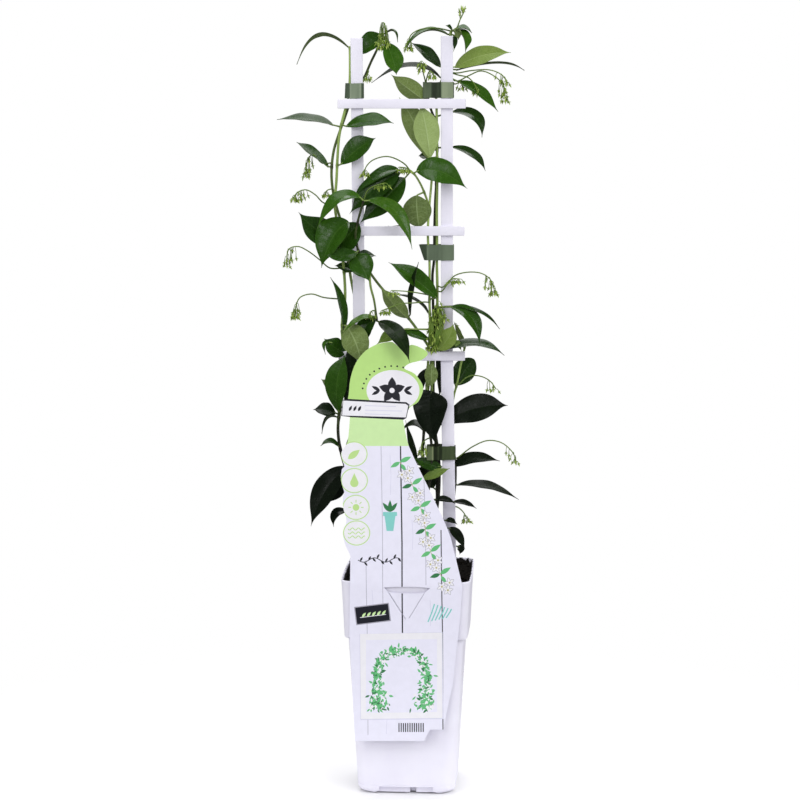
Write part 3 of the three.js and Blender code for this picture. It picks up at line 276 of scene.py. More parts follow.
def moulded_pot():
    pot = new_piece("moulded_pot", *skin(pot_outside() + pot_inside()))
    under_half = wall_half(0) - FOOT_THICK
    under = skin([square_ring(under_half, UNDER_CORNER, z) for z in (CUT_BELOW, FLOOR_UNDERSIDE)])
    wide = FOOT_CUT_HALF + FOOT_CUT_FLARE
    climb = [
        (-wide, CUT_BELOW), (-wide, PAD_HIGH), (-FOOT_CUT_HALF, PAD_HIGH + FOOT_FLARE_HIGH),
        (-FOOT_CUT_HALF, FLOOR_UNDERSIDE),
    ]
    profile = climb + [(-x, z) for x, z in reversed(climb)]
    carve(pot, [under] + [channel_skin(profile, 2 * BASE_HALF, quarters) for quarters in (0, 1)])
    carve(pot, [skirt_ring()], "UNION")
    edge = wall_half(0) - FOOT_INSET - PAD_SETBACK
    pads = [(a * PAD_PLACE, b * edge) for a in (-1, 1) for b in (-1, 1)]
    pads += [(y, x) for x, y in pads]
    carve(pot, [round_skin(x, y, PAD_RADIUS, 0, PAD_HIGH + 1 * MM) for x, y in pads], "UNION")
    drains = [(0, 0)] + [(a * DRAIN_SPREAD, b * DRAIN_SPREAD) for a in (-1, 1) for b in (-1, 1)]
    low, high = FLOOR_UNDERSIDE - 4 * MM, FLOOR_TOP + 2 * MM
    carve(pot, [round_skin(x, y, DRAIN_RADIUS, low, high) for x, y in drains])
    return pot


def new_finish(name, color, roughness, **sockets):
    """A material with its plain values on the shader's own sockets."""
    finish = bpy.data.materials.new(name)
    finish.use_nodes = True
    shader = finish.node_tree.nodes["Principled BSDF"]
    shader.inputs["Base Color"].default_value = (*color, 1)
    shader.inputs["Roughness"].default_value = roughness
    for socket, value in sockets.items():
        shader.inputs[socket.replace("_", " ")].default_value = value
    return finish


def feed(finish, socket, value):
    """Wires an output into the socket, or sets the socket to a plain value."""
    if isinstance(value, bpy.types.NodeSocket):
        finish.node_tree.links.new(value, socket)
    else:
        socket.default_value = value


def add_node(finish, kind, inputs=None, **settings):
    """A node with its settings, and with each named input set to a value or wired to an output."""
    node = finish.node_tree.nodes.new(kind)
    for key, value in settings.items():
        setattr(node, key, value)
    for key, value in (inputs or {}).items():
        feed(finish, node.inputs[key], value)
    return node


def maths(finish, operation, *values):
    node = add_node(finish, "ShaderNodeMath", operation=operation)
    for socket, value in zip(node.inputs, values):
        feed(finish, socket, value)
    return node.outputs[0]


def remap(finish, value, low, high, to_low=0.0, to_high=1.0):
    """Carries the span from low to high over to the span from to_low to to_high, and stops at its ends."""
    spans = {"Value": value, "From Min": low, "From Max": high, "To Min": to_low, "To Max": to_high}
    return add_node(finish, "ShaderNodeMapRange", spans).outputs["Result"]


def blend_colors(finish, factor, first, second):
    """The first colour where the factor is 0, and the second where it is 1."""
    node = add_node(finish, "ShaderNodeMix", data_type="RGBA")
    sockets = (node.inputs[0], node.inputs[6], node.inputs[7])
    for socket, value in zip(sockets, (factor, first, second)):
        feed(finish, socket, (*value, 1) if isinstance(value, tuple) else value)
    return node.outputs[2]


def ramp(finish, factor, stops):
    """A colour ramp over the factor, from (position, colour) stops."""
    node = add_node(finish, "ShaderNodeValToRGB", {"Fac": factor})
    while len(node.color_ramp.elements) < len(stops):
        node.color_ramp.elements.new(0.5)
    for element, (position, color) in zip(node.color_ramp.elements, stops):
        element.position = position
        element.color = (*color, 1)
    return node.outputs["Color"]


def wire(finish, output, socket):
    """Wires an output to one of the shader's own sockets."""
    finish.node_tree.links.new(output, finish.node_tree.nodes["Principled BSDF"].inputs[socket])


def object_place(finish):
    return add_node(finish, "ShaderNodeTexCoord").outputs["Object"]


def dapple(finish, scale, detail=3.0):
    """Soft noise over the piece, its scale in waves a metre."""
    inputs = {"Vector": object_place(finish), "Scale": scale, "Detail": detail}
    return add_node(finish, "ShaderNodeTexNoise", inputs).outputs["Fac"]


def add_bump(finish, height, depth, strength=1.0):
    """Relief of the given depth in metres."""
    bump = add_node(finish, "ShaderNodeBump", {"Height": height, "Strength": strength, "Distance": depth})
    wire(finish, bump.outputs["Normal"], "Normal")


def moulded_plastic(name, pale, shaded, grain):
    """White polypropylene: faint clouds in its colour and gloss, and a fine moulded grain."""
    finish = new_finish(name, pale, 0.5, IOR=1.49)
    clouds = dapple(finish, 28.0, 4.0)
    wire(finish, ramp(finish, clouds, [(0.3, shaded), (0.62, pale)]), "Base Color")
    wire(finish, remap(finish, clouds, 0, 1, 0.42, 0.58), "Roughness")
    relief = maths(finish, "ADD", dapple(finish, 45.0, 1.0), dapple(finish, grain))
    add_bump(finish, relief, 0.16 * MM, 0.5)
    return finish


def add_inner_wall_darkening(finish):
    """Darkens the plastic: nearly solid at the soil's level, thinning in uneven patches up to the lip."""
    height = add_node(finish, "ShaderNodeSeparateXYZ", {"Vector": object_place(finish)}).outputs["Z"]
    low, high = POT_HEIGHT - DARKENING_FOOT, POT_HEIGHT - DARKENING_TOP
    reach = remap(finish, height, low, high, 0.7, 0.08)
    cover = remap(finish, maths(finish, "ADD", dapple(finish, 240.0, 6.0), reach), 0.62, 0.68)
    plastic = finish.node_tree.nodes["Principled BSDF"].inputs["Base Color"].links[0].from_socket
    wire(finish, blend_colors(finish, cover, plastic, DARKENING_COLOR), "Base Color")


POT_PLASTIC, DARKENED_INNER_PLASTIC = (
    moulded_plastic(name, (0.86, 0.845, 0.955), (0.82, 0.80, 0.92), 900.0)
    for name in ("white_pot_plastic", "darkened_inner_plastic")
)
# The pot's inner wall is darkened in uneven patches, most near the soil's level.
add_inner_wall_darkening(DARKENED_INNER_PLASTIC)


def seat_in_pot_frame(piece):
    """Moves a piece built square on the pot's own axis to where the turned pot stands."""
    piece.data.transform(Matrix.Translation((POT_MIDDLE, 0, 0)) @ Matrix.Rotation(POT_TURN, 4, "Z"))
    return piece


def settle(piece, slot, *nodes):
    """The piece moves with the object and stands for these solids, which are hidden; the slot is not used."""
    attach(piece, "root")
    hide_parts(*nodes)


pot = moulded_pot()
pot.data.polygons.foreach_set("use_smooth", [True] * len(pot.data.polygons))
pot.data.set_sharp_from_angle(angle=CREASE)
pot.data.materials.clear()
for plastic in (POT_PLASTIC, DARKENED_INNER_PLASTIC):
    pot.data.materials.append(plastic)
# Faces inside the pot above the collar's foot take the darkened plastic.
for face in pot.data.polygons:
    outward = face.normal.x * face.center.x + face.normal.y * face.center.y
    face.material_index = 1 if face.center.z > COLLAR_FOOT and outward < 0 else 0
seat_in_pot_frame(pot)
settle(pot, "pot_plastic", "pot")

# The soil
# Peat compost filled to just under the rim, nearly black while it is moist, with clods and crumbs on top
# and paler specks in it. It is loose stuff that takes the pot's inner shape and closes round the stems.
SOIL_GAP = 0.4 * MM
SOIL_TOP = 212 * MM
SOIL_LUMPS = 2.4 * MM
SOIL_RINGS = 46
HEAP_MIDDLE = Vector((44, 40)) * MM
HEAP_REACH = 46 * MM
HEAP_HIGH = 7.5 * MM
SWELL_WAVES = 26
CLOD_WAVES = 110
CLOD_HIGH = 2.2 * MM
SOIL_SIDE_STEPS = 32
SOIL_NARROW = COLLAR_FOOT + 4.2 * MM
SOIL_LEDGE = COLLAR_FOOT + 6.4 * MM
CRUMBS = 420
CRUMB_SIDES = 6
CRUMB_LEVELS = (-0.8, -0.3, 0.3, 0.8)
CRUMB_LEAST, CRUMB_MOST = 0.7, 2.6


def soil_height(x, y):
    """The lumpy top: a heap towards the right back corner, broad swells, then clods."""
    away = min(1, (Vector((x, y)) - HEAP_MIDDLE).length / HEAP_REACH)
    heap = HEAP_HIGH * (1 - away * away) ** 2
    swell = noise.noise(Vector((x, y, 0.3)) * SWELL_WAVES)
    clods = noise.turbulence(Vector((x, y, 0.1)) * CLOD_WAVES, 3, False)
    return SOIL_TOP + heap + SOIL_LUMPS * swell * (1 - heap / HEAP_HIGH) + CLOD_HIGH * (clods - 0.5)


def soil_body():
    """The plug's sides, then rings running in over the top to the middle."""
    floor = FLOOR_TOP + SOIL_GAP
    narrow = WALL_TOP_HALF - WALL - SOIL_GAP
    top_half = inner_half(SOIL_TOP) - SOIL_GAP
    levels = [
        (inner_half(floor) - SOIL_GAP, BASE_CORNER - WALL - SOIL_GAP, floor),
        (narrow, corner_at(COLLAR_FOOT) - WALL - SOIL_GAP, SOIL_NARROW),
        (inner_half(SOIL_LEDGE) - SOIL_GAP, RIM_CORNER - WALL, SOIL_LEDGE),
        (top_half, RIM_CORNER - WALL, SOIL_TOP - 6 * MM),
    ]
    rings = [square_ring(*level, SOIL_SIDE_STEPS) for level in levels]
    for step in range(SOIL_RINGS):
        share = 1 - step / SOIL_RINGS
        ring = square_ring(top_half * share, (RIM_CORNER - WALL) * share, 0, SOIL_SIDE_STEPS)
        for point in ring:
            point.z = soil_height(point.x, point.y)
        rings.append(ring)
    return skin(rings)


def crumb(rng, x, y, size):
    """A rough crumb, half sunk in the soil's top."""
    middle = Vector((x, y, soil_height(x, y) + 0.15 * size))
    tall = rng.uniform(0.5, 0.9)
    spin = rng.uniform(0, math.pi)
    rings = []
    for level in CRUMB_LEVELS:
        wide = math.sqrt(1 - level * level)
        ring = []
        for k in range(CRUMB_SIDES):
            angle = spin + 2 * math.pi * k / CRUMB_SIDES
            reach = size * wide * rng.uniform(0.75, 1.2)
            rise = size * level * tall * rng.uniform(0.85, 1.15)
            ring.append(middle + Vector((reach * math.cos(angle), reach * math.sin(angle), rise)))
        rings.append(ring)
    return skin(rings)


def add_skin(points, faces, more):
    """Adds another skin's points and faces to these."""
    faces += [tuple(len(points) + k for k in face) for face in more[1]]
    points += more[0]


def soil_skin():
    rng = random.Random(11)
    points, faces = soil_body()
    reach = inner_half(SOIL_TOP) - 3 * MM
    for _ in range(CRUMBS):
        x, y = rng.uniform(-reach, reach), rng.uniform(-reach, reach)
        if abs(x) + abs(y) > 1.8 * reach:
            continue
        add_skin(points, faces, crumb(rng, x, y, rng.uniform(CRUMB_LEAST, CRUMB_MOST) * MM))
    return points, faces


def peat():
    """Nearly black, with the paler specks where the noise is highest."""
    finish = new_finish("moist_peat", (0.006, 0.005, 0.004), 0.9, Specular_IOR_Level=0.08)
    grains = dapple(finish, 420.0, 5.0)
    tones = [
        (0.35, (0.002, 0.0018, 0.0016)), (0.62, (0.008, 0.0065, 0.005)), (0.76, (0.05, 0.038, 0.03)),
    ]
    wire(finish, ramp(finish, grains, tones), "Base Color")
    add_bump(finish, grains, 0.8 * MM)
    return finish


soil = seat_in_pot_frame(new_piece("peat_soil", *soil_skin(), crease=math.radians(60)))
soil.data.materials.append(peat())
settle(soil, "peat", "soil")

# The ladder
# A small white polypropylene trellis: two flat stakes pushed down into the compost, each a slimmer upper
# length joined to a wider lower one, and three cross bars pegged through holes in the stakes from the front.
STAKE_WIDTH = 11.8 * MM
STAKE_LOWER_WIDTH = 12.5 * MM
STAKE_THICK = 4 * MM
STAKE_FOOT = 112 * MM
STAKE_POINT = 22 * MM
STAKE_JOINT = 431.5 * MM
LOWER_LEAN = 0.0175
STAKES = [
    {"node": "stake_left", "top_x": -42.65 * MM, "top": 750 * MM, "lean": 0.0067},
    {"node": "stake_right", "top_x": 45.97 * MM, "top": 752 * MM, "lean": 0.0028},
]
RUNGS = [
    {"node": "rung_top", "height": 686.1 * MM, "middle": 1.6 * MM},
    {"node": "rung_middle", "height": 561.2 * MM, "middle": 0.8 * MM},
    {"node": "rung_bottom", "height": 436.7 * MM, "middle": 1.7 * MM},
]
RUNG_LENGTH = 126 * MM
RUNG_HIGH = 9.3 * MM
RUNG_THICK = 3 * MM
RUNG_GAP = 0.3 * MM
PEG_RADIUS = 1.9 * MM
PEG_SUNK = 1 * MM
PEG_PAST = 0.8 * MM
BOSS_RADIUS = 1.1 * MM
BOSS_HIGH = 0.18 * MM
PEG_EASE = 0.25 * MM
PEG_SIDES = 24
BAR_EASE = 0.55 * MM
EASE_STEPS = 3


def stake_axis(stake, height):
    """Where the stake's middle stands at a height: it leans a little, and more below its joint."""
    upper = stake["top"] - max(height, STAKE_JOINT)
    lower = max(0, STAKE_JOINT - height)
    return stake["top_x"] + stake["lean"] * upper + LOWER_LEAN * lower


def eased_ring(half_a, half_b, ease):
    """A flat bar's section, its four corners eased."""
    ring = []
    for quarter, (sign_a, sign_b) in enumerate([(1, 1), (-1, 1), (-1, -1), (1, -1)]):
        for step in range(EASE_STEPS + 1):
            angle = math.pi / 2 * (quarter + step / EASE_STEPS)
            a = sign_a * (half_a - ease) + ease * math.cos(angle)
            b = sign_b * (half_b - ease) + ease * math.sin(angle)
            ring.append((a, b))
    return ring


def stake_skin(stake):
    """Levels from the blunt point up past the joint to the eased top."""
    top, joint = stake["top"], STAKE_JOINT
    point = STAKE_FOOT + STAKE_POINT
    half, lower = STAKE_WIDTH / 2, STAKE_LOWER_WIDTH / 2
    levels = [
        (STAKE_FOOT, 1 * MM), (point - 2 * MM, lower - 0.6 * MM), (point, lower), (300 * MM, lower),
        (joint - 0.6 * MM, lower), (joint - 0.1 * MM, lower - 0.2 * MM), (joint, half), (500 * MM, half),
        (620 * MM, half), (top - BAR_EASE, half), (top - BAR_EASE * 0.3, half - BAR_EASE * 0.3),
        (top, half - BAR_EASE),
    ]
    rings = []
    for height, half_width in levels:
        x = stake_axis(stake, height)
        thick = STAKE_THICK / 2 - (BAR_EASE * 0.6 if height == top else 0)
        ease = min(BAR_EASE, half_width * 0.6)
        rings.append([Vector((x + a, b, height)) for a, b in eased_ring(half_width, thick, ease)])
    return skin(rings)


def peg_skin(x, height, radius, front, back):
    """A short round peg that runs from front to back, its edges eased."""
    slim = radius - PEG_EASE
    levels = [(back, slim), (back - PEG_EASE, radius), (front + PEG_EASE, radius), (front, slim)]
    rings = []
    for y, half in levels:
        rings.append([
            Vector((x + half * math.cos(a), y, height + half * math.sin(a))) for a in turns_round(PEG_SIDES)
        ])
    return skin(rings)


def rung_skin(rung):
    """A flat bar with eased edges, its pegs behind it and a small boss over each on its front."""
    front = -STAKE_THICK / 2 - RUNG_GAP - RUNG_THICK
    ends = [-RUNG_LENGTH / 2, -RUNG_LENGTH / 2 + BAR_EASE, RUNG_LENGTH / 2 - BAR_EASE, RUNG_LENGTH / 2]
    rings = []
    for place_x, inset in zip(ends, (BAR_EASE, 0, 0, BAR_EASE)):
        half_thick, half_high = RUNG_THICK / 2 - inset * 0.8, RUNG_HIGH / 2 - inset * 0.8
        section = eased_ring(half_thick, half_high, BAR_EASE - inset * 0.3)
        x = rung["middle"] + place_x
        rings.append([Vector((x, front + RUNG_THICK / 2 + a, rung["height"] + b)) for a, b in section])
    points, faces = skin(rings)
    for stake in STAKES:
        x = stake_axis(stake, rung["height"])
        sunk = front + PEG_SUNK
        peg, boss = (PEG_RADIUS, sunk, STAKE_THICK / 2 + PEG_PAST), (BOSS_RADIUS, front - BOSS_HIGH, sunk)
        for radius, near, far in (peg, boss):
            add_skin(points, faces, peg_skin(x, rung["height"], radius, near, far))
    return points, faces


LADDER_PLASTIC = moulded_plastic("white_ladder_plastic", (0.89, 0.87, 0.98), (0.80, 0.78, 0.90), 1400.0)
lengths = [(stake["node"], stake["node"].replace("stake", "upright"), stake_skin(stake)) for stake in STAKES]
lengths += [(rung["node"], rung["node"].replace("rung", "bar"), rung_skin(rung)) for rung in RUNGS]
for node, name, shape in lengths:
    length = new_piece(name, *shape)
    length.data.materials.append(LADDER_PLASTIC)
    settle(length, "ladder_plastic", node)

# The climbing stems
# Seven rooted star jasmine shoots, woody and green, that twist up the ladder: leathery evergreen leaves on
# short stalks, and thin arching flower stalks that hang bunches of pointed buds, each in a small green star.
# Places lie on the same sheet as in part.mjs. It is the shop photo, 800 mm square, at 1 mm a pixel in the
# ladder's plane, with x from its left edge and y down from its top edge. They were read off that photo. Most
# leaves differ from part.mjs's in place, width or depth, and some leaves and sprays are only here. Depths
# run in mm from the ladder's plane, +Y away from the eye. They are guessed, as the photo doesn't show them.
SHEET_MIDDLE = 400
SHEET_MIDDLE_HEIGHT = 392
EYE_DISTANCE = 2400
EYE_PITCH = math.radians(7.5)
EYE_BACK = EYE_DISTANCE * math.cos(EYE_PITCH)
EYE_RISE = EYE_DISTANCE * math.sin(EYE_PITCH)
TOWARD_EYE = Vector((0, -1, 0.16)).normalized()


def place(point):
    """A point of the sheet, in metres."""
    x, y, depth = point
    up = SHEET_MIDDLE - y
    reach = (EYE_BACK + depth) / (EYE_BACK + up * math.sin(EYE_PITCH))
    height = SHEET_MIDDLE_HEIGHT + EYE_RISE + reach * (up * math.cos(EYE_PITCH) - EYE_RISE)
    return Vector(((x - SHEET_MIDDLE) * reach, depth, height)) * MM


# A way is a stem's course from the soil up; the first is the main stem and the rest are side shoots. A leaf
# is (from x, y, over x, y, tip x, y, width, face, depths, fold, shade): face 0 turns its upper side to the
# eye, 90 to the sky and 180 away; fold is the angle along its midrib; shade runs from 0, an old dark leaf,
# to 1, a young pale one. Two more values may follow: belly, which moves the widest place nearer the base when
# it is small and nearer the tip when it is large, and "blunt" for a rounded end. A spray is (buds, share of
# the stalk that they hang from, way), with "upright" after it where the buds stand up. Bark is the stem's
# shade at its foot and at its top.
VINES = [
    {
        "node": "vine_left_front",
        "radius": 1.35,
        "bark": (0.6, 0.85),
        "ways": [
            [
                (398, 600, 6), (396, 577, 6), (385, 550, 0), (366, 515, -4), (350, 480, -6),
                (341, 452, -6), (338, 430, -6), (340, 408, -4), (344, 380, -1), (345, 357, 0),
                (342.5, 338, 0), (342.5, 318, 0), (345, 300, 0), (344.3, 275, 0), (341.5, 250, 0),
                (337, 222, 0), (334.8, 205, 0), (336.5, 180, 0), (337.5, 158, 0), (339, 138, 0),
                (342, 122, 0), (345.6, 108, 0.3), (348.6, 96, 0), (349.8, 80, 0), (350, 60, 0),
                (349.8, 47, 0),
            ],
        ],
        "leaves": [
            (348.4, 47, 318, 36.5, 296.7, 64.6, 11, 100, (0, -6, -14), 16, 0.4),
            (333, 125, 306, 119, 277, 119.5, 19, 57, (0, 8, 14), 16, 0.34),
            (346, 126.5, 371, 120.5, 393.8, 123.3, 20, 40, (-6, -13, -16), 16, 0.42),
            (341, 164.5, 358, 149, 375.8, 138, 25, 25, (-5, -7, -6), 16, 0.4, 0.98),
            (344, 331, 341, 303, 330.4, 277.2, 13, 50, (-4, -9, -16), 20, 0.4),
            (345, 353, 334, 347, 324, 338.5, 21, 20, (-4, -9, -11), 14, 0.36),
            (331, 343, 324.5, 343.5, 325.5, 354.5, 5, 40, (-10, -12, -13), 16, 0.5),
            (338.5, 412, 337, 382, 346, 354, 24, 16, (-9, -15, -13), 14, 0.46, 1.1),
            (341, 395, 329, 386, 321.3, 379, 12, 140, (1, 5, 8), 16, 0.5),
            (335.5, 413, 325, 410, 313.1, 409.6, 19, 42, (-6, -10, -8), 16, 0.1),
            (337.5, 417, 327, 419, 321.7, 434, 11, 82, (-8, -15, -22), 16, 0.15),
            (339.5, 447, 330, 442, 320.5, 446, 11, 60, (-7, -11, -13), 16, 0.35),
            (347, 467, 325.5, 491, 310.9, 526.4, 26, 18, (-8, -14, -18), 16, 0),
            (345, 481, 338, 492, 327, 503, 15, 30, (-4, -6, -8), 16, 0),
            (347, 511, 336, 514, 333.6, 526.8, 12, 40, (-5, -9, -14), 16, 0.02),
            (348.5, 221.5, 332.5, 238, 321.3, 268, 37, 30, (-10, -16, -15), 26, 0.47),
            (341, 240, 319, 231.5, 298.5, 212, 29, 16, (-2, -5, -6), 14, 0.33),
            (354, 271.5, 344.5, 267, 334.6, 265.8, 11, 30, (0, 1, 0), 10, 0.3),
            (346, 325.5, 355, 341, 361, 361, 28, 172, (-13, -27, -24), 12, 0.66, 0.9, "blunt"),
            (345, 407, 351, 373, 348, 340, 15, 10, (-10, -14, -12), 12, 0.14, 1.0),
        ],
        "sprays": [
            (8, 0.3, [
                (330, 268, -2), (320, 260, -4), (308, 251, -6), (298, 246.5, -8), (289, 249, -8),
                (286.5, 264, -8),
            ]),
            (8, 0.3, [
                (324, 297.5, -2), (311.5, 294, -4), (300, 297.5, -6), (296, 306, -6), (295, 315, -6),
            ]),
            (9, 0.4, [
                (324, 203, -3), (315, 194.5, -5), (306, 189.8, -6), (298, 192, -6), (293, 198, -6),
            ]),
        ],
    },
    {
        "node": "vine_left_back",
        "radius": 1.3,
        "bark": (0.75, 0.3),
        "ways": [
            [
                (404, 600, 15), (403, 577, 15), (396, 545, 12), (381, 500, 10), (369, 450, 8),
                (362, 400, 8), (361, 350, 8), (360, 318, 7), (355, 298, 6), (350.5, 276, 6),
                (347, 250, 6), (341, 222, 6), (334.2, 198, 6), (331.5, 175, 5), (333.5, 152, 5),
                (338, 136.5, 5.8), (344, 120, 6), (348.5, 107, 7), (354, 93, 8), (360.5, 83, 7.5),
                (364.8, 76, 6.5), (371, 62, 4), (378.5, 46, 2), (382, 34, 1),
            ],
        ],
        "leaves": [
            (328.5, 167, 310, 152, 296.7, 142, 18, 56, (4, 10, 16), 16, 0.4),
            (384, 37, 371, 45.5, 357.5, 56, 26, 30, (4, 7, 9), 30, 0.44),
            (386.5, 42.5, 393, 60, 396.5, 75, 21, 20, (-2, -8.5, -11), 16, 0.5),
            (385, 33.5, 394, 31, 397.8, 42.3, 8, 75, (0, -4, -8), 16, 0.35),
            (363, 430, 352, 441, 345, 458, 20, 70, (12, 22, 34), 16, 0.1),
            (368, 455, 380, 451, 392, 462, 20, 70, (12, 26, 36), 16, 0.1),
            (384, 509, 372, 505, 360, 515, 20, 70, (14, 28, 38), 16, 0.05),
            (362, 385, 372, 380, 384, 386, 21, 70, (11, 24, 34), 16, 0.2),
            (344, 236, 338, 241, 332, 252, 20, 80, (9, 24, 38), 16, 0.35),
            (350, 263, 357, 262, 363, 269, 20, 80, (9, 24, 36), 16, 0.35),
        ],
        "sprays": [
            (9, 0.4, [(322, 163, 7), (313, 154.5, 8), (308.5, 158, 8), (305.5, 174, 8)]),
            (4, 0.3, [(331.5, 189, 3), (327, 190.5, 2), (325.5, 193, 2)]),
            (12, 0.8, [(381.5, 28, 0), (383, 22.5, -1), (385.5, 27, -3), (386.5, 38, -4), (386, 46, -4)]),
            (9, 0.6, [(382, 31, -1), (380.5, 38, -4), (380.5, 46, -4)]),
            (4, 0.3, [(368.5, 71, 3), (366.5, 77, 2)]),
        ],
    },
    {
        "node": "vine_middle",
        "radius": 1.3,
        "bark": (0.85, 0.3),
        "ways": [
            [
                (412, 600, 3), (412, 577, 3), (416, 540, 6), (421, 480, 9), (424, 430, 9),
                (428, 390, 7.5), (430.5, 352, 7), (420, 334, 4), (410, 320, 2), (395, 303, 3),
                (380, 286, -2), (369, 271, -7), (359.5, 254, -10), (355.5, 236, -13), (358, 221, -14),
                (363.5, 201, -15),
            ],
            [
                (369.5, 272, -7), (370.5, 286, -6), (374, 300, -7), (376, 313, -8), (377, 321, -9),
            ],
        ],
        "leaves": [
            (361, 198, 337, 199.5, 316.7, 229.1, 19, 45, (-16, -20, -24), 16, 0.5),
            (367.7, 200.5, 396, 212.5, 412.2, 249.5, 18, 35, (-16, -19, -19), 16, 0.55),
            (408, 318, 394, 304.5, 380, 286.2, 20, 145, (0, -5, -8), 16, 0.68),
            (410, 315, 413, 288, 418.5, 262, 15, 68, (-1, -8, -12), 16, 0.22),
            (357, 252, 341.5, 256, 325.3, 255, 17, 30, (-18, -24, -26), 14, 0.36),
            (376, 318, 360, 319.5, 343, 333, 13, 62, (-11, -20, -28), 16, 0.56),
            (376, 320, 365, 329, 366.5, 347, 19, 25, (-9, -12, -12), 16, 0.36),
            (378.5, 321.5, 397, 335, 409.8, 362.5, 19, 28, (-14, -42, -52), 16, 0.2),
            (354.5, 255, 361.5, 265.5, 369.6, 282, 26, 12, (-13, -17, -18), 18, 0.47),
            (358.5, 223, 344, 240, 326, 258, 29, 14, (-6, -9, -7), 14, 0.4),
            (356, 243, 345, 246, 333, 240, 18, 40, (-6, -8, -8), 14, 0.28),
            (357.5, 256, 366, 254.8, 376, 256, 13, 46, (-9, -7, -4), 8, 0.26),
            (420, 480, 409, 471, 398, 475, 20, 70, (12, 26, 36), 16, 0.1),
            (423, 430, 412, 425, 400, 432, 20, 70, (12, 26, 34), 16, 0.12),
        ],
        "sprays": [
            (6, 0.3, [(368, 190, -17), (376, 185.5, -18), (385, 183, -18)]),
            (3, 0.7, [(372, 311, -12), (369.5, 315, -13)]),
        ],
    },
    {
        "node": "vine_right_tall",
        "radius": 1.3,
        "bark": (0.55, 0.9),
        "ways": [
            [
                (424, 600, 13), (424, 577, 13), (430, 545, 11), (436, 515, 9), (439, 490, 7),
                (439, 460, 4), (436.5, 440, 2.5), (433, 420, 2), (431.8, 395, 1.2), (432.5, 365, 1.2),
                (434, 345, 1.2), (437.3, 325, 1), (437.3, 300, 1), (437.3, 283, 1), (436.8, 262, 1),
                (437, 240, 1), (436.8, 210, 1), (437.2, 185, 1), (437, 150, 1), (436.8, 125, 1),
                (436.6, 110, 1), (436.4, 95, 2.5), (440, 84, 6), (446, 72, 7), (448.5, 55, 7),
                (450, 38, 6), (451, 31, 5),
            ],
        ],
        "leaves": [
            (448.5, 34.5, 424, 31.5, 403.6, 51.5, 12, 66, (5, -4, -12), 18, 0.46),
            (440.5, 67, 427, 54, 410.4, 42.3, 18, 42, (6, 4, 4), 16, 0.25),
            (440.5, 77.5, 409, 66, 371.5, 82.8, 14, 62, (9, 7, 3), 16, 0.15),
            (455, 67.5, 482, 55.5, 511, 52.6, 20, 20, (6, 0, -6), 10, 0.8),
            (456, 70, 498, 63, 524.5, 70.5, 12, 82, (8, 13, 17), 16, 0.3),
            (458, 81.5, 479, 93.5, 498.2, 111.6, 19, 46, (7, 0, -4), 22, 0.5),
            (456, 31, 463.5, 37, 465.5, 52.5, 19, 60, (4, -3, -6), 24, 0.55),
            (454.5, 31, 463.5, 28, 472, 33, 12, 62, (4, 3, 2), 16, 0.4),
            (453, 30, 457, 33, 458.5, 40, 9, 150, (3, -1, -3), 16, 0.68),
            (453.5, 35, 455.5, 41, 453.3, 51.5, 6, 30, (3, 1, -1), 16, 0.3),
            (452.5, 30.5, 449.5, 27.5, 445.8, 25.3, 8, 60, (4, 1, 0), 16, 0.3),
            (431.5, 391, 430, 415, 436.5, 446.5, 36, 12, (-7, -11, -11), 12, 0, 0.55),
            (450.5, 307, 471.5, 318, 479.5, 345, 17, 30, (-9, -14, -16), 18, 0.42),
            (451, 306, 480, 312.5, 499.7, 329, 9, 60, (-8, -9.5, -7), 16, 0.28),
            (440, 351, 476, 343.5, 504.5, 355.5, 18, 58, (-6.5, -13, -17), 16, 0.3),
            (438, 349.5, 448.5, 337.5, 453, 324, 20, 24, (-7, -11.5, -12), 12, 0.76),
            (433.5, 351, 431, 332, 433.5, 311, 6, 30, (-5, -8, -7), 20, 0.72),
            (438, 351, 441, 329, 437, 304, 6, 40, (-6, -9, -7), 20, 0.76),
            (436, 350, 437.5, 336, 443, 318, 6, 20, (-6, -10, -9), 20, 0.7),
            (435, 352, 436.5, 328, 437, 302, 15, 10, (3, 2, 2), 10, 0.3),
            (452, 346, 457, 344, 461.5, 351, 8, 30, (-8, -10, -9), 16, 0.7),
        ],
        "sprays": [
            (5, 0.3, [(456, 73, 4), (472, 70.5, 0), (490, 70, -3), (502, 75, -4), (507, 82, -4)]),
            (8, 0.24, [
                (457, 81, 4), (468, 76, 1), (481, 71, -2), (494, 76, -3), (503, 85, -4), (505.5, 99, -4),
            ]),
            (3, 0.2, [(458, 75, 4), (468, 77.5, 2), (475, 85, 1), (477, 91, 1)]),
            (3, 0.4, [(455, 84, 5), (459.5, 82.5, 4), (463, 86, 3)]),
            (4, 0.35, [(456.5, 28, 3), (460, 20, 2), (463.5, 13, 2)], "upright"),
            (6, 0.2, [(436, 28, 2), (420, 29.5, 0), (411, 35, -3), (407, 47, -5)]),
            (9, 0.32, [
                (442, 291, -6.5), (455, 275.5, -8), (478, 272.5, -9), (490, 279, -9), (495, 292, -9),
            ]),
            (8, 0.5, [(443, 287, -7), (452, 279, -9), (460, 279, -10)]),
            (15, 0.9, [(434.5, 346, -5), (436, 325, -7), (438, 301, -6)]),
            (14, 0.85, [(439, 345, -4), (441, 322, -6.5), (436.5, 306, -7)]),
            (9, 0.85, [(432, 348, -5), (435, 338, -8), (441, 331, -8)]),
            (5, 0.6, [(437, 318, -4), (442.5, 309, -6), (444, 317, -7)]),
        ],
    },
    {
        "node": "vine_right_middle",
        "radius": 1.25,
        "bark": (0.6, 0.95),
        "ways": [
            [
                (416, 600, -12), (416, 577, -12), (420, 545, -8), (427, 500, -6), (431, 470, -5),
                (431.5, 445, -3.5), (427.5, 420, -2), (426.5, 395, -1), (428, 365, 1), (429, 345, 1),
                (430, 325, 0), (429.5, 300, 0), (429.5, 262, 0.5), (428, 240, 1), (428, 226, 1),
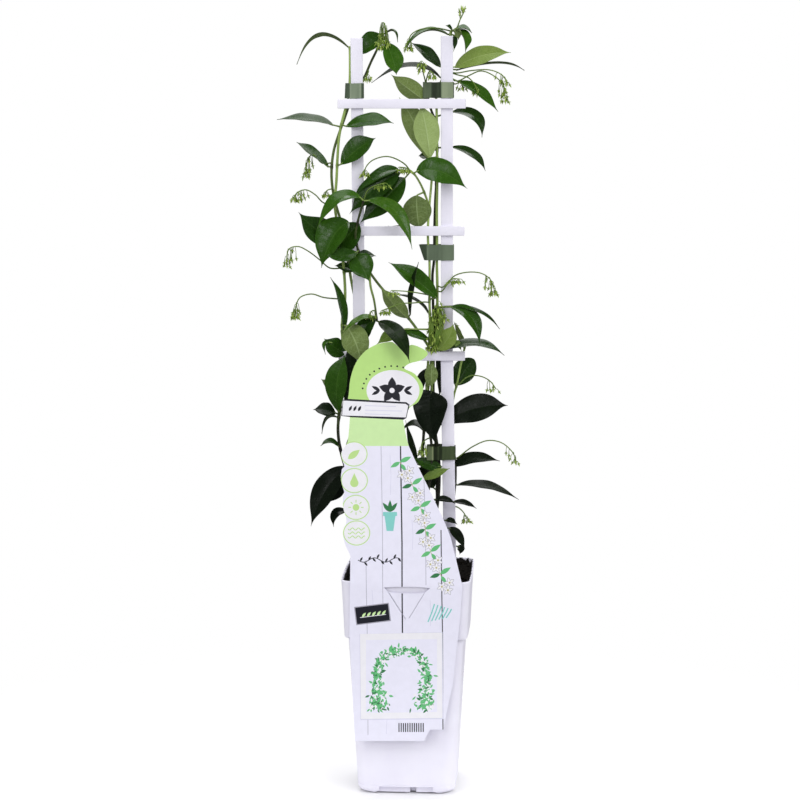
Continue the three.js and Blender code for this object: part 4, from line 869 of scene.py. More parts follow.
                (429.5, 205, 0), (431.5, 182, -1), (432.5, 168, -1), (431, 159, -1),
            ],
            [
                (429.3, 209, 0), (427, 200, 0), (421, 185, -2), (414.5, 174.5, -5), (410, 170.5, -6),
            ],
        ],
        "leaves": [
            (430, 159, 427, 133, 420.6, 103, 26, 172, (-3, -2.5, 0.8), 8, 0.97, 1.2),
            (416.5, 171.5, 440, 171.5, 467.3, 188.8, 27, 15, (-8, -14, -16), 16, 0.48),
            (416, 195.5, 417, 211, 419, 227, 29, 175, (-1, -2, 1), 6, 0.6, 1.0, "blunt"),
            (400, 173, 373, 189, 349.5, 214, 24, 8, (-6, -7, -7.5), 8, 0.4),
            (405, 178, 385, 199, 359.5, 223.5, 30, 20, (-4.5, -5, -5.5), 12, 0.38),
            (399, 170, 380, 174, 357, 193, 15, 38, (-7, -9.5, -10), 16, 0.4),
            (437, 298, 414, 278.5, 388.5, 262.3, 22, 24, (-3, -4.5, 0), 28, 0.5),
            (428.5, 313, 415, 300, 393, 294, 12, 78, (4, 9, 9), 16, 0.2),
            (429.5, 339.5, 414, 334.5, 397.5, 328.5, 13, 44, (-1, -6, -10), 16, 0.47),
            (430.5, 385, 431.5, 374.5, 431, 363.5, 14, 170, (-6, -7, -5), 16, 0.67, 0.9, "blunt"),
            (428, 466, 423, 464, 417, 461.5, 7, 40, (-7, -8, -9), 16, 0.45),
            (404, 329, 391, 335, 376.5, 344.5, 15, 24, (-8, -22, -31), 16, 0.74),
            (426, 369, 421, 383, 415, 401, 12, 30, (5, 6, 6), 16, 0.1),
            (436, 350, 440, 374, 439, 399, 10, 30, (4, 5, 5), 16, 0.08),
            (417, 465, 411.5, 446, 405.5, 420, 8, 30, (-5, -6, -6), 16, 0.12),
            (422, 479, 436, 473.8, 450, 468.2, 10, 25, (-9, -12, -14), 16, 0.7),
            (442, 467, 427, 464, 413, 457.5, 14, 30, (-6, -7, -8), 10, 0.33),
            (434, 500.5, 445, 499, 455.5, 504, 8, 45, (-9, -11, -12), 16, 0.02),
            (453, 502, 465, 503, 476.5, 508.5, 8, 45, (-10, -11, -12), 16, 0.02),
            (446, 521, 451, 520.5, 457.3, 524.5, 7, 40, (-8, -9, -9), 16, 0.02),
            (449, 528, 457.5, 535.5, 465, 549.5, 11, 25, (-9, -12, -14), 16, 0.03),
        ],
        "sprays": [
            (4, 0.15, [
                (404, 163.5, -7), (388, 156.5, -8), (373, 160, -8), (366, 167, -8), (364.5, 173, -8),
            ]),
            (8, 0.8, [(406, 168, -9), (399, 167, -10)]),
            (7, 0.2, [
                (424, 302, -9), (412, 303, -18), (402, 303.5, -18), (390, 307.5, -17), (382, 310.5, -17),
            ]),
            (3, 0.1, [(424, 294, -9), (412, 292, -19), (402, 291, -19), (391.5, 290.5, -17)]),
            (12, 0.9, [(430, 345, -4), (430.5, 328, -6), (433, 312, -5)]),
            (6, 0.5, [(427, 439, -6), (422.5, 443, -8), (421.5, 452, -9)]),
        ],
    },
    {
        "node": "vine_right_back",
        "radius": 1.3,
        "bark": (0.2, 0.3),
        "ways": [
            [
                (430, 600, 20), (430, 577, 20), (434, 540, 16), (437, 500, 13.5), (436, 450, 11),
                (433.5, 400, 9), (433.5, 360, 9), (433.5, 330, 8), (433, 300, 7), (432.5, 275, 6),
                (434, 260, 6), (434.5, 226, 6), (435.3, 200, 6), (436.3, 182, 6), (437, 160, 6),
                (437, 140, 6), (435, 121, 6), (430.5, 108, 6), (428, 98, 6), (426, 87, 6),
            ],
        ],
        "leaves": [
            (427, 158, 416.5, 127, 399, 97.2, 24, 165, (4, 7, 7), 8, 0.8, 1.1),
            (427, 102, 409, 89, 391, 74.5, 21, 150, (3, 0.5, -3), 16, 0.7),
            (430, 158, 424, 156, 418.5, 156, 9, 30, (8, 10, 11), 16, 0.25),
            (428, 231, 407, 229, 388, 226, 12, 66, (9, 11, 12), 16, 0.1),
            (438, 426, 472, 409.5, 508, 405.5, 29, 15, (13, 11.5, 6), 8, 0.03, 1.25),
            (433.5, 488, 427, 477, 415, 466, 16, 30, (10, 7, 5), 16, 0.1),
            (452, 112, 475, 117, 482, 137.5, 17, 42, (6.5, 5, 3), 16, 0.3),
            (451, 147, 473, 155, 485.5, 171, 12.5, 42, (6.5, 6, 4), 16, 0.3),
            (437, 151, 428, 141, 420, 128, 20, 80, (9, 24, 36), 16, 0.3),
            (438, 182, 446, 172, 452, 166, 20, 80, (9, 22, 34), 16, 0.3),
            (433, 405, 428, 411, 424, 424, 22, 80, (12, 26, 38), 16, 0.08),
            (437, 418, 460, 413, 478, 411, 20, 80, (12, 24, 34), 16, 0.08),
            (430, 507, 418, 499, 406, 505, 21, 72, (16, 30, 42), 16, 0.03),
        ],
        "sprays": [
            (7, 0.3, [(425, 80, 2), (422.5, 70, -4), (421, 61, -5)]),
            (4, 0.3, [(426.5, 79, 1.5), (430, 71, -4), (433.5, 75, -5)]),
        ],
    },
    {
        "node": "vine_right_outer",
        "radius": 1.15,
        "bark": (0.45, 0.8),
        "ways": [
            [
                (436, 600, 5), (436, 577, 5), (445, 545, 9), (452, 510, 9.5), (455.2, 484, 8.5),
                (455.6, 468, 8), (453, 440, 8), (451.5, 415, 7.5), (453.8, 396, 7), (457, 384, 5),
                (461, 364, 3.5), (465, 346, 3),
            ],
        ],
        "leaves": [
            (455, 385, 464.5, 371, 474, 359, 24, 10, (9, 11, 13), 16, 0.35, 1.0, "blunt"),
            (463, 347, 459, 334, 453.8, 321.5, 6, 150, (5, 5, 4), 16, 0.66),
            (454, 466, 476, 459.5, 500, 461, 18, 44, (6, 2, 0), 22, 0.05, 0.75),
            (457, 485, 488, 487, 518.8, 499.5, 17, 60, (7, 4, 2), 16, 0.05),
            (457.5, 546.5, 460.5, 549, 459.5, 554.5, 8, 20, (7, 5, 4), 16, 0.02),
        ],
        "sprays": [
            (3, 0.3, [
                (459, 384, 3), (465, 378.5, 2), (472, 375.5, 1), (483, 377, 0), (491, 382, 0),
                (496, 389, 0),
            ]),
            (4, 0.3, [
                (457, 458, 6), (472, 447, 4), (488, 440.5, 3), (502, 443, 2), (513, 453, 2),
                (516, 461, 2),
            ]),
            (4, 0.3, [(459, 508, 6), (464, 513, 4), (467, 519, 4)]),
            (1, 0.1, [(463.5, 338, 4), (459, 331, 4.5), (454.5, 323, 4.8)]),
        ],
    },
]

OLD_LEAF, LEAF, YOUNG_LEAF, LEAF_UNDER, BARK, BUD = range(6)
OLD_BELOW = 0.22
YOUNG_FROM = 0.6
BLADE_COLUMNS = [0, 0.05, 0.12, 0.26, 0.42, 0.58, 0.74, 0.88, 1]
BLADE_THICK = 0.5
VEIN_SPACING = 5.2
PETIOLE_RADIUS = 0.8
WOODY_BELOW = 330 * MM
GREENING = 70 * MM
STEM_SIDES = 10
STALK_SIDES = 7
BUD_TURN = 2.4
MORE_BUDS = 1.9
BELLY = 0.88
QUILT_HIGH = 0.14
RIB_WIDE = 0.6
RIB_SUNK = 0.22
RIB_STANDS = 0.75
LEAF_CREASE = math.radians(55)
BUD_PROFILE = [(0, 0.55), (0.15, 0.8), (0.4, 0.82), (0.7, 0.5), (1, 0.08)]
BUD_STALK_RADII = [0.36 * MM, 0.3 * MM, 0.28 * MM, 0.34 * MM, 0.55 * MM]
SEPAL_PROFILE = [(0, 0.42), (0.45, 0.48), (1, 0.06)]


class Course:
    """A smooth curve through points, as three.js's centripetal Catmull-Rom draws it."""

    def __init__(self, points):
        self.points = points

    def at(self, share):
        last = len(self.points) - 1
        along = min(max(share, 0), 1) * last
        k = min(int(along), last - 1)
        p1, p2 = self.points[k], self.points[k + 1]
        p0 = self.points[k - 1] if k > 0 else p1 * 2 - p2
        p3 = self.points[k + 2] if k + 2 <= last else p2 * 2 - p1
        d0, d1, d2 = (max((b - a).length, 1e-6) ** 0.5 for a, b in ((p0, p1), (p1, p2), (p2, p3)))
        m1 = ((p1 - p0) / d0 - (p2 - p0) / (d0 + d1) + (p2 - p1) / d1) * d1
        m2 = ((p2 - p1) / d1 - (p3 - p1) / (d1 + d2) + (p3 - p2) / d2) * d1
        t = along - k
        return p1 + m1 * t + (p2 * 3 - p1 * 3 - m1 * 2 - m2) * t ** 2 + (p1 * 2 - p2 * 2 + m1 + m2) * t ** 3

    def heading(self, share):
        return (self.at(share + 1e-3) - self.at(share - 1e-3)).normalized()

    def stations(self, per_span):
        count = per_span * (len(self.points) - 1)
        return [k / count for k in range(count + 1)]


def nearest_on(courses, point):
    """The point of the stem's curves that is nearest to a point."""
    spots = (course.at(k / 160) for course in courses for k in range(161))
    return min(spots, key=lambda spot: (spot - point).length_squared)


class Growth:
    """The skin of one climbing stem with all it carries, gathered piece by piece."""

    def __init__(self):
        self.points, self.faces, self.kinds = [], [], []
        self.veins, self.shades = [], []

    def add(self, points, faces, kinds, shade, veins=None):
        """Adds a closed skin, turned so that its faces look outward."""
        volume = 0
        for face in faces:
            for k in range(1, len(face) - 1):
                a, b, c = points[face[0]], points[face[k]], points[face[k + 1]]
                volume += a.dot(b.cross(c))
        start = len(self.points)
        self.points += points
        self.veins += veins or [(0, 0)] * len(points)
        self.shades += shade if isinstance(shade, list) else [shade] * len(points)
        for face in faces:
            face = face if volume > 0 else tuple(reversed(face))
            self.faces.append(tuple(start + k for k in face))
        self.kinds += kinds if isinstance(kinds, list) else [kinds] * len(faces)

    def piece(self, name, finishes):
        piece = new_piece(name, self.points, self.faces, crease=LEAF_CREASE)
        mesh = piece.data
        for finish in finishes:
            mesh.materials.append(finish)
        mesh.polygons.foreach_set("material_index", self.kinds)
        layer = mesh.uv_layers.new(name="veins")
        for loop in mesh.loops:
            layer.data[loop.index].uv = self.veins[loop.vertex_index]
        shade = mesh.attributes.new("shade", "FLOAT", "POINT")
        shade.data.foreach_set("value", self.shades)
        return piece


def tube_rings(centers, radii, sides):
    """Rings round a row of centres, carried along without twist."""
    rings = []
    across = None
    for k, center in enumerate(centers):
        before, after = centers[max(k - 1, 0)], centers[min(k + 1, len(centers) - 1)]
        heading = (after - before).normalized()
        if across is None:
            across = heading.orthogonal().normalized()
        across = (across - heading * across.dot(heading)).normalized()
        other = heading.cross(across)
        ways = [across * math.cos(a) + other * math.sin(a) for a in turns_round(sides)]
        rings.append([center + way * radii[k] for way in ways])
    return rings


def add_tube(growth, centers, radii, sides, kind, shade):
    """A round stem along a row of centres, drawn in a little at both ends."""
    first, last = centers[0] - centers[1], centers[-1] - centers[-2]
    low = centers[0] + first.normalized() * radii[0] * 0.5
    high = centers[-1] + last.normalized() * radii[-1] * 0.5
    centers = [low] + centers + [high]
    radii = [radii[0] * 0.5] + radii + [radii[-1] * 0.5]
    points, faces = skin(tube_rings(centers, radii, sides))
    if isinstance(shade, list):
        shade = [value for value in [shade[0]] + shade + [shade[-1]] for _ in range(sides)]
    growth.add(points, faces, kind, shade)


def blade_share(along, belly, blunt):
    """The blade's half width along it, as a share of its widest: an oval, most often with a drip tip."""
    full = math.sin(math.pi * along ** belly)
    if blunt:
        return max(0, full) ** 0.6
    late = min(1, max(0, (along - 0.55) / 0.4))
    pinch = 1 - 0.3 * min(1, max(0, (along - 0.8) / 0.15)) ** 2
    return max(0, full) ** (0.8 + 0.55 * late * late * (3 - 2 * late)) * pinch


def add_leaf(growth, courses, row, rng):
    """A leathery blade folded along its midrib and raised between the side veins, on a short stalk."""
    from_x, from_y, over_x, over_y, tip_x, tip_y, wide, face, depths, fold, shade = row[:11]
    belly = row[11] if len(row) > 11 else BELLY
    blunt = len(row) > 12
    base = place((from_x, from_y, depths[0]))
    over = place((over_x, over_y, depths[1]))
    tip = place((tip_x, tip_y, depths[2]))
    control = over * 2 - (base + tip) * 0.5
    chord = tip - base
    turn, fold = math.radians(face), math.radians(fold)
    veins = max(4, round(chord.length / MM / VEIN_SPACING))
    count = 40 if chord.length > 40 * MM else 28 if chord.length > 18 * MM else 18
    columns = [-s for s in reversed(BLADE_COLUMNS[1:])] + BLADE_COLUMNS
    wave_left, wave_right = rng.uniform(0, 6.3), rng.uniform(0, 6.3)
    waves = rng.uniform(1.6, 2.6)
    curl = rng.uniform(-0.10, 0.04)
    shade = min(1, max(0, shade + rng.uniform(-0.03, 0.03)))
    points, marks = [], []
    for k in range(count + 1):
        t = k / count
        t = 0.6 * t + 0.4 * (1 - math.cos(math.pi * t)) / 2
        center = base * (1 - t) ** 2 + control * 2 * t * (1 - t) + tip * t ** 2
        tangent = ((control - base) * (1 - t) + (tip - control) * t).normalized()
        toward = (TOWARD_EYE - tangent * TOWARD_EYE.dot(tangent)).normalized()
        skyward = tangent.cross(toward) * (-1 if chord.x > 0 else 1)
        up = (toward * math.cos(turn) + skyward * math.sin(turn)).normalized()
        side = tangent.cross(up).normalized()
        half = max(0.75 * (1 - t) + 0.12, blade_share(t, belly, blunt) * wide / 2)
        upper, lower = [], []
        for s in columns:
            away = abs(s)
            bend = (math.sqrt(away * away + 0.03) - math.sqrt(0.03)) / (math.sqrt(1.03) - math.sqrt(0.03))
            rise = half * math.sin(fold) * bend
            wave = math.sin(2 * math.pi * waves * t + (wave_left if s < 0 else wave_right))
            rise += half * (0.05 * wave * away ** 2 * math.sin(math.pi * t) + curl * away ** 4)
            quilt = 0.5 - 0.5 * math.cos(2 * math.pi * (t * veins - 1.1 * away ** 1.2))
            rise += QUILT_HIGH * quilt * math.sin(math.pi * away) * min(1, half / 6)
            near_rib = math.exp(-(s * half / RIB_WIDE) ** 2)
            spread = s * half * math.cos(fold * min(1, away * 1.5))
            thick = BLADE_THICK * (1 - 0.6 * away ** 2) / 2
            at = center + side * spread * MM
            upper.append(at + up * (rise + thick - RIB_SUNK * near_rib * (1 - t)) * MM)
            ridge = RIB_STANDS * near_rib * (1 - 0.8 * t)
            lower.append(at + up * (rise - thick - ridge) * MM)
        points += upper + list(reversed(lower))
        v = t * veins
        marks += [(s, v) for s in columns] + [(s, v) for s in reversed(columns)]
    around = 2 * len(columns)
    upper_side = OLD_LEAF if shade < OLD_BELOW else YOUNG_LEAF if shade > YOUNG_FROM else LEAF
    faces, kinds = [], []
    for row_at in range(count):
        for k in range(around):
            a, b = row_at * around + k, row_at * around + (k + 1) % around
            faces.append((a, b, b + around, a + around))
            kinds.append(upper_side if k < len(columns) - 1 else LEAF_UNDER)
    faces.append(tuple(reversed(range(around))))
    faces.append(tuple(range(count * around, (count + 1) * around)))
    kinds += [LEAF_UNDER, LEAF_UNDER]
    growth.add(points, faces, kinds, shade, marks)
    add_leaf_stalk(growth, courses, base, control, shade)


def add_leaf_stalk(growth, courses, base, control, shade):
    """A stalk from the stem's nearest place to the blade's base, bent into the blade's own direction."""
    root = nearest_on(courses, base)
    reach = (base - root).length
    if reach < 1.2 * MM:
        return
    into = (control - base).normalized()
    away = (base - root).normalized()
    centers = []
    for k in range(9):
        t = k / 8
        start = root + away * reach * t
        end = base + into * 2.5 * MM * max(0, t - 0.7) / 0.3
        centers.append(start if t <= 0.7 else start.lerp(end, (t - 0.7) / 0.3))
    radii = [(PETIOLE_RADIUS * (1.25 - 0.35 * k / 8)) * MM for k in range(9)]
    radii[-1] *= 0.6
    add_tube(growth, centers, radii, STALK_SIDES, BARK, 0.35 + 0.6 * shade)


def add_stems(growth, vine, courses, roots):
    """Woody below and green above, thickened where each leaf's stalk starts, and darkened there with painted
    shade.
    """
    low_bark, high_bark = vine["bark"]
    for number, course in enumerate(courses):
        radius = vine["radius"] * (1.12 if number == 0 else 0.9)
        centers, radii, shades = [], [], []
        for t in course.stations(9):
            at = course.at(t)
            near = min((at - root).length for root in roots) / MM
            node = 0.28 * math.exp(-(near / 1.7) ** 2)
            taper = 1.06 - 0.26 * t
            centers.append(at)
            radii.append(radius * taper * (1 + node) * MM)
            green = min(1, max(0.2, (at.z - WOODY_BELOW) / GREENING))
            # Painted shade: the bark is darkened in a ring round each place where a leaf stalk joins the
            # stem.
            node_painted_shade = 0.18 * math.exp(-(near / 2.2) ** 2)
            shades.append((low_bark + (high_bark - low_bark) * t) * green - node_painted_shade)
        add_tube(growth, centers, radii, STEM_SIDES, BARK, shades)


def add_bud(growth, rng, root, out, drop, size):
    """A thin stalk that goes out and hangs down, five narrow sepals in a star, and a pointed bud."""
    out = out.normalized()
    middle = root + out * 1.6 * MM * size + Vector((0, 0, 0.3 * MM))
    bend = root + out * 2.4 * MM * size - Vector((0, 0, drop * 0.35))
    neck = root + out * rng.uniform(2.2, 3.2) * MM * size - Vector((0, 0, drop))
    stalk = [root, middle, bend, bend.lerp(neck, 0.6), neck]
    add_tube(growth, stalk, BUD_STALK_RADII, 5, BUD, rng.uniform(0.15, 0.4))
    hang = (neck - bend).normalized() + out * rng.uniform(0, 0.5)
    turn = Vector((0, 0, 1)).rotation_difference(hang.normalized()).to_matrix()
    long = rng.uniform(3.4, 4.8) * size
    swell = [1 + 0.12 * (-1) ** k for k in range(6)]
    rings = []
    for share, radius in BUD_PROFILE:
        ring = []
        for k, angle in enumerate(turns_round(6)):
            a, wide = angle + share * 1.4, radius * swell[k]
            ring.append(Vector((wide * math.cos(a), wide * math.sin(a), share * long)))
        rings.append([neck + turn @ (point * MM) for point in ring])
    points, faces = skin(rings)
    growth.add(points, faces, BUD, rng.uniform(0.5, 0.95))
    spin = rng.uniform(0, 6.3)
    for k in range(5):
        angle = spin + 2 * math.pi * k / 5
        way = Vector((math.cos(angle), math.sin(angle), 0))
        beside = Vector((-math.sin(angle), math.cos(angle), 0))
        sepal = []
        for share, wide in SEPAL_PROFILE:
            middle = way * (0.45 + 1.6 * share) + Vector((0, 0, 0.3 + 1.3 * share ** 1.5))
            for across, deep in ((-wide, 0), (0, -0.2), (wide, 0), (0, 0.16)):
                sepal.append(neck + turn @ ((middle + beside * across + Vector((0, 0, deep))) * MM * size))
        points, faces = skin([sepal[0:4], sepal[4:8], sepal[8:12]])
        growth.add(points, faces, BUD, rng.uniform(0.3, 0.75))


def add_spray(growth, courses, spray, rng):
    """An arching flower stalk, its buds hung part of the way down to its end, or stood up if upright."""
    buds, share, way = spray[:3]
    upright = len(spray) > 3
    points = [place(point) for point in way]
    root = nearest_on(courses, points[0])
    course = Course([root] + points)
    stations = course.stations(6)
    radii = [(0.75 - 0.25 * t) * MM for t in stations]
    shades = [0.1 + 0.3 * t for t in stations]
    add_tube(growth, [course.at(t) for t in stations], radii, STALK_SIDES, BUD, shades)
    foot = course.at(1)
    count = round(MORE_BUDS * buds)
    for k in range(count):
        spot = course.at(1 - share * k / count)
        turn = k * BUD_TURN
        drop = 1.2 * MM + max(0, spot.z - foot.z) * rng.uniform(0.02, 0.85)
        out = Vector((math.cos(turn), 0.8 * math.sin(turn), -0.35))
        if upright:
            drop = -1.5 * MM
            out.z = 1.5
        add_bud(growth, rng, spot, out, drop, rng.uniform(0.9, 1.2))


def shade_of(finish):
    return add_node(finish, "ShaderNodeAttribute", attribute_name="shade").outputs["Fac"]


def streaked(finish, waves_across, waves_along):
    """Noise drawn out along the height, its scales in waves a metre."""
    scale = (waves_across, waves_across, waves_along)
    stretch = add_node(finish, "ShaderNodeMapping", {"Vector": object_place(finish), "Scale": scale})
    inputs = {"Vector": stretch.outputs["Vector"], "Scale": 1.0}
    return add_node(finish, "ShaderNodeTexNoise", inputs).outputs["Fac"]


def vein_lines(finish):
    """1 on the midrib, about half that on the side veins that curve out and forward, 0 between them."""
    place_on_leaf = add_node(finish, "ShaderNodeUVMap", uv_map="veins").outputs["UV"]
    parts = add_node(finish, "ShaderNodeSeparateXYZ", {"Vector": place_on_leaf})
    across = maths(finish, "ABSOLUTE", parts.outputs["X"])
    swept = maths(finish, "MULTIPLY", maths(finish, "POWER", across, 1.2), 1.1)
    wander = maths(finish, "SUBTRACT", dapple(finish, 120.0, 2.0), 0.5)
    swept = maths(finish, "ADD", swept, maths(finish, "MULTIPLY", wander, 1.3))
    from_vein = maths(finish, "PINGPONG", maths(finish, "SUBTRACT", parts.outputs["Y"], swept), 0.5)
    side = remap(finish, from_vein, 0, 0.08, 1, 0)
    fade = remap(finish, across, 0.65, 1, 1, 0)
    side_veins = maths(finish, "MULTIPLY", maths(finish, "MULTIPLY", side, fade), 0.55)
    return maths(finish, "MAXIMUM", side_veins, remap(finish, across, 0, 0.07, 1, 0))


def vein_net(finish):
    """The fine net between the side veins."""
    cells = {"Vector": object_place(finish), "Scale": 420.0}
    gap = add_node(finish, "ShaderNodeTexVoronoi", cells, feature="DISTANCE_TO_EDGE").outputs["Distance"]
    return remap(finish, gap, 0, 0.12, 0.35, 0)


def leaf_finish(name, tones, shine, vein_color, vein_show, roughness, relief):
    """Waxy leaf skin: its green goes with the leaf's age, mottled a little, with paler veins."""
    finish = new_finish(name, tones[2][1], roughness, IOR=1.45, Specular_IOR_Level=shine)
    mottle = maths(finish, "SUBTRACT", dapple(finish, 190.0, 4.0), 0.5)
    aged = maths(finish, "ADD", shade_of(finish), maths(finish, "MULTIPLY", mottle, 0.16))
    skin_color = ramp(finish, aged, tones)
    veins = maths(finish, "MAXIMUM", vein_lines(finish), vein_net(finish))
    shown = maths(finish, "MULTIPLY", veins, maths(finish, "MULTIPLY", aged, vein_show))
    wire(finish, blend_colors(finish, shown, skin_color, vein_color), "Base Color")
    gloss = maths(finish, "ADD", maths(finish, "MULTIPLY", mottle, 0.35), roughness)
    wire(finish, gloss, "Roughness")
    fine = maths(finish, "MULTIPLY", dapple(finish, 900.0, 1.0), 0.10)
    add_bump(finish, maths(finish, "SUBTRACT", fine, veins), relief)
    return finish


UPPER_TONES = [
    (0.0, (0.0045, 0.0080, 0.0040)), (0.2, (0.007, 0.017, 0.004)), (0.38, (0.014, 0.052, 0.003)),
    (0.52, (0.030, 0.098, 0.004)), (0.64, (0.075, 0.155, 0.012)), (0.8, (0.17, 0.25, 0.045)),
    (1.0, (0.27, 0.39, 0.09)),
]
UNDER_TONES = [
    (0.0, (0.025, 0.034, 0.020)), (0.3, (0.050, 0.075, 0.026)), (0.5, (0.080, 0.120, 0.034)),
    (0.6, (0.105, 0.155, 0.042)), (0.7, (0.16, 0.225, 0.060)), (0.85, (0.21, 0.29, 0.085)),
    (1.0, (0.29, 0.39, 0.13)),
]
BARK_TONES = [
    (0.0, (0.012, 0.011, 0.007)), (0.3, (0.030, 0.036, 0.014)), (0.55, (0.13, 0.20, 0.045)),
    (0.8, (0.28, 0.40, 0.10)), (1.0, (0.40, 0.54, 0.18)),
]
BUD_TONES = [
    (0.0, (0.06, 0.10, 0.02)), (0.35, (0.15, 0.24, 0.035)), (0.7, (0.29, 0.42, 0.06)),
    (1.0, (0.48, 0.60, 0.14)),
]


def bark_finish(name, tones, roughness):
    """Smooth young bark, streaked along the stem."""
    finish = new_finish(name, tones[2][1], roughness)
    streaks = streaked(finish, 900, 60)
    mottle = maths(finish, "MULTIPLY", maths(finish, "SUBTRACT", streaks, 0.5), 0.35)
    wire(finish, ramp(finish, maths(finish, "ADD", shade_of(finish), mottle), tones), "Base Color")
    add_bump(finish, streaks, 0.12 * MM)
    return finish


FINISHES = [
    leaf_finish("old_leaf_upper_side", UPPER_TONES, 0.22, (0.10, 0.16, 0.05), 0.5, 0.30, 0.05 * MM),
    leaf_finish("leaf_upper_side", UPPER_TONES, 0.45, (0.13, 0.25, 0.05), 0.45, 0.24, 0.06 * MM),
    leaf_finish("young_leaf_upper_side", UPPER_TONES, 0.35, (0.36, 0.46, 0.17), 0.5, 0.4, 0.08 * MM),
    leaf_finish("leaf_underside", UNDER_TONES, 0.3, (0.42, 0.54, 0.25), 0.85, 0.5, 0.12 * MM),
    bark_finish("young_bark", BARK_TONES, 0.45),
    bark_finish("flower_stalks_and_buds", BUD_TONES, 0.5),
]


def climbing_stem(vine, seed):
    """One stem with its leaves and sprays, as one piece."""
    rng = random.Random(seed)
    courses = [Course([place(point) for point in way]) for way in vine["ways"]]
    roots = [nearest_on(courses, place((row[0], row[1], row[8][0]))) for row in vine["leaves"]]
    growth = Growth()
    add_stems(growth, vine, courses, roots)
    for row in vine["leaves"]:
        add_leaf(growth, courses, row, rng)
    for spray in vine["sprays"]:
        add_spray(growth, courses, spray, rng)
    return growth.piece(vine["node"].replace("vine", "climber"), FINISHES)


for seed, vine in enumerate(VINES, 21):
    settle(climbing_stem(vine, seed), "foliage", vine["node"])

# The tape ties
# Four closed bands of soft green nursery tape that hold the stems to the stakes: thin, a little see-through,
# pulled flat over the white stakes and creased where they turn. Sizes are in mm; a plan is the band seen
# from above.
TAPE_THICK = 0.28
TAPE_BEND = 1.1
FLARE_REACH = 16
TAPE_ROWS = 9
BACK_TONE = 0.3
TAPE_EASE = 0.12
TAPE_STEP = 1.1
BEND_STEPS = 4
# Tones, each (x, tone), run across the front and are painted light and shade: the film is painted darker
# where stems show through it, paler where the white stake shows through, and with painted highlights at
# folds.
TIES = [
    {
        "node": "tie_left_top", "height": 698.6, "high": 14.7, "flare": -1.2, "creases": 0.10, "blue": 1,
        "plan": [
            (-50, -3.2), (-35.3, -3.2), (-35.3, 3.4), (-36.5, 10.4), (-41, 11.8), (-51, 11.4),
            (-54.6, 3.5), (-54.6, -1.8),
        ],
        "tones": [
            (-54.6, 0.24), (-49.4, 0.3), (-49, 0.74), (-48, 0.6), (-40, 0.56), (-39.3, 0.74),
            (-37.9, 0.7), (-37.5, 0.22), (-35.3, 0.26),
        ],
    },
    {
        "node": "tie_right_top", "height": 699.4, "high": 15.5, "flare": 0, "creases": 0.30, "blue": 0.9,
        "plan": [
            (22.2, -0.5), (29, -3), (39.6, -3.4), (53.2, -3.2), (53.2, 3.2), (45.5, 9.6), (36, 11), (23, 9.5),
        ],
        "tones": [
            (22.2, 0.3), (24.3, 0.36), (30.6, 0.34), (31.4, 0.06), (36, 0.07), (37.2, 0.22), (38, 0.08),
            (40.2, 0.14), (40.6, 0.55), (41.6, 0.7), (51, 0.62), (52, 0.68), (52.5, 0.15), (53.2, 0.12),
        ],
    },
    {
        "node": "tie_right_middle", "height": 539.6, "high": 15.4, "flare": 7, "creases": 0.10, "blue": 1,
        "plan": [(23.8, -0.5), (28, -3.2), (53.7, -3.2), (53.7, 3.2), (39, 10.8), (28, 9.8), (24, 5)],
        "tones": [
            (18, 0.24), (26.2, 0.22), (27, 0.54), (28.6, 0.40), (35, 0.36), (42, 0.42), (46, 0.48),
            (53, 0.48), (53.7, 0.3),
        ],
    },
    {
        "node": "tie_right_low", "height": 338.9, "high": 14, "flare": 0, "creases": 0.22, "blue": 0.72,
        "plan": [(26.2, -6.4), (33, -7.2), (55.9, -3.3), (55.9, 3.3), (46, 12.9), (34, 14.2), (27, 8)],
        "tones": [
            (26.2, 0.44), (32.2, 0.5), (32.7, 0.92), (33.3, 0.4), (33.8, 0.06), (37, 0.04), (38.4, 0.2),
            (39.4, 0.04), (42, 0.05), (42.5, 0.22), (53, 0.25), (55.9, 0.15),
        ],
    },
]


def bent_plan(plan):
    """The plan with its corners rounded and its straight runs divided."""
    corners = [Vector(point) for point in plan]
    path = []
    for k, corner in enumerate(corners):
        back = (corners[k - 1] - corner).normalized() * TAPE_BEND
        ahead = corners[(k + 1) % len(corners)] - corner
        start, end = corner + back, corner + ahead.normalized() * TAPE_BEND
        for step in range(BEND_STEPS + 1):
            t = step / BEND_STEPS
            path.append(start * (1 - t) ** 2 + corner * 2 * t * (1 - t) + end * t ** 2)
        run = ahead.length - 2 * TAPE_BEND
        parts = max(1, round(run / TAPE_STEP))
        for step in range(1, parts):
            path.append(end + ahead.normalized() * run * step / parts)
    return path


